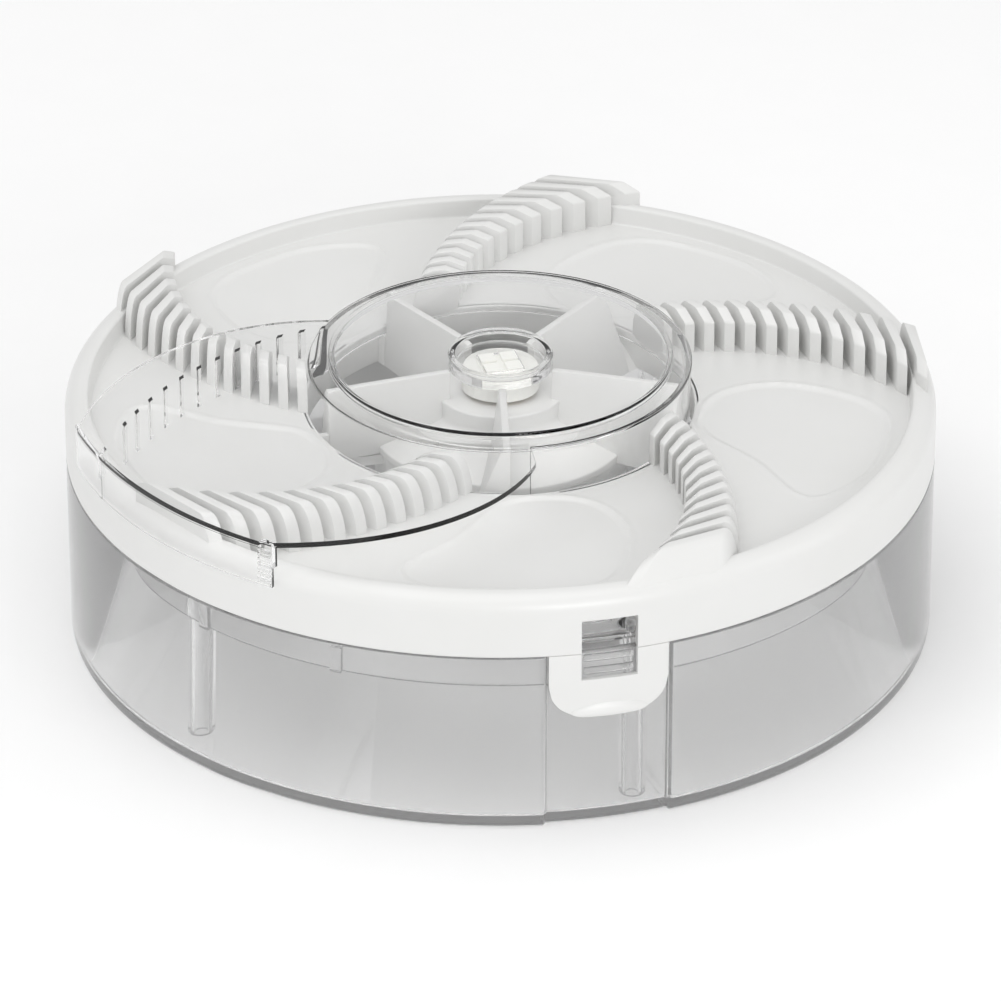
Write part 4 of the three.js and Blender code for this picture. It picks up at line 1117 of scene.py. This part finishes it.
# %% Floor, light and camera
def make_floor():
    mat = new_material("pale_paper")
    place = add(mat, "ShaderNodeTexCoord").outputs["Object"]
    fibre = add(mat, "ShaderNodeTexNoise", {"Vector": place, "Scale": 60.0, "Detail": 2.0})
    tone = add(mat, "ShaderNodeMix", {
        "Factor": fibre.outputs["Fac"], "A": colour("FDFDFD"), "B": colour("FBFBFB")}, data_type="RGBA")
    body = add(mat, "ShaderNodeBsdfPrincipled", {"Base Color": tone.outputs["Result"], "Roughness": 0.9})
    add(mat, "ShaderNodeOutputMaterial", {"Surface": body.outputs[0]})
    far = 6000.0
    level = -0.05
    corners = [(-far, -far, level), (far, -far, level), (far, far, level), (-far, far, level)]
    floor = make_object("floor", corners, [(0, 1, 2, 3)])
    floor.data.materials.append(mat)


def make_light(name, place, aim_z, width, height, watts):
    data = bpy.data.lights.new(name, "AREA")
    data.shape = "RECTANGLE"
    data.size, data.size_y = width, height
    data.energy = watts
    lamp = bpy.data.objects.new(name, data)
    scene.collection.objects.link(lamp)
    lamp.location = place
    lamp.rotation_euler = (Vector((0, 0, aim_z)) - Vector(place)).to_track_quat("-Z", "Y").to_euler()


CAMERA_TURN = math.radians(-13.9)
CAMERA_TILT = math.radians(29.0)
CAMERA_AWAY = 1.6
CAMERA_LENS = 268.7
CAMERA_AIM_Z = 25.8
WORLD_STRENGTH = 0.72
# name, place, aim height, width and height in metres, and watts
LIGHTS = [
    ("overhead", (-0.2, -0.1, 0.95), 0.03, 0.9, 0.9, 3.0),
    ("front", (0.15, -1.5, 0.55), 0.04, 0.6, 0.5, 5.0),
    ("left_strip", (-0.9, -0.5, 0.45), 0.03, 0.25, 0.9, 0.8),
    ("right_strip", (0.9, -0.35, 0.4), 0.03, 0.25, 0.9, 0.8),
]


def make_camera():
    data = bpy.data.cameras.new("camera")
    data.sensor_width = 36.0
    data.lens = CAMERA_LENS
    camera = bpy.data.objects.new("camera", data)
    scene.collection.objects.link(camera)
    aim = Vector((0, 0, CAMERA_AIM_Z * MM))
    back = Vector((math.sin(CAMERA_TURN) * math.cos(CAMERA_TILT),
                   -math.cos(CAMERA_TURN) * math.cos(CAMERA_TILT), math.sin(CAMERA_TILT)))
    camera.location = aim + back * CAMERA_AWAY
    camera.rotation_euler = (-back).to_track_quat("-Z", "Y").to_euler()
    scene.camera = camera


def light_world(strength):
    world = bpy.data.worlds.new("studio")
    world.use_nodes = True
    world.node_tree.nodes["Background"].inputs["Color"].default_value = (1, 1, 1, 1)
    world.node_tree.nodes["Background"].inputs["Strength"].default_value = strength
    scene.world = world


make_floor()
light_world(WORLD_STRENGTH)
for light in LIGHTS:
    make_light(*light)
make_camera()
scene.view_settings.view_transform = "Standard"
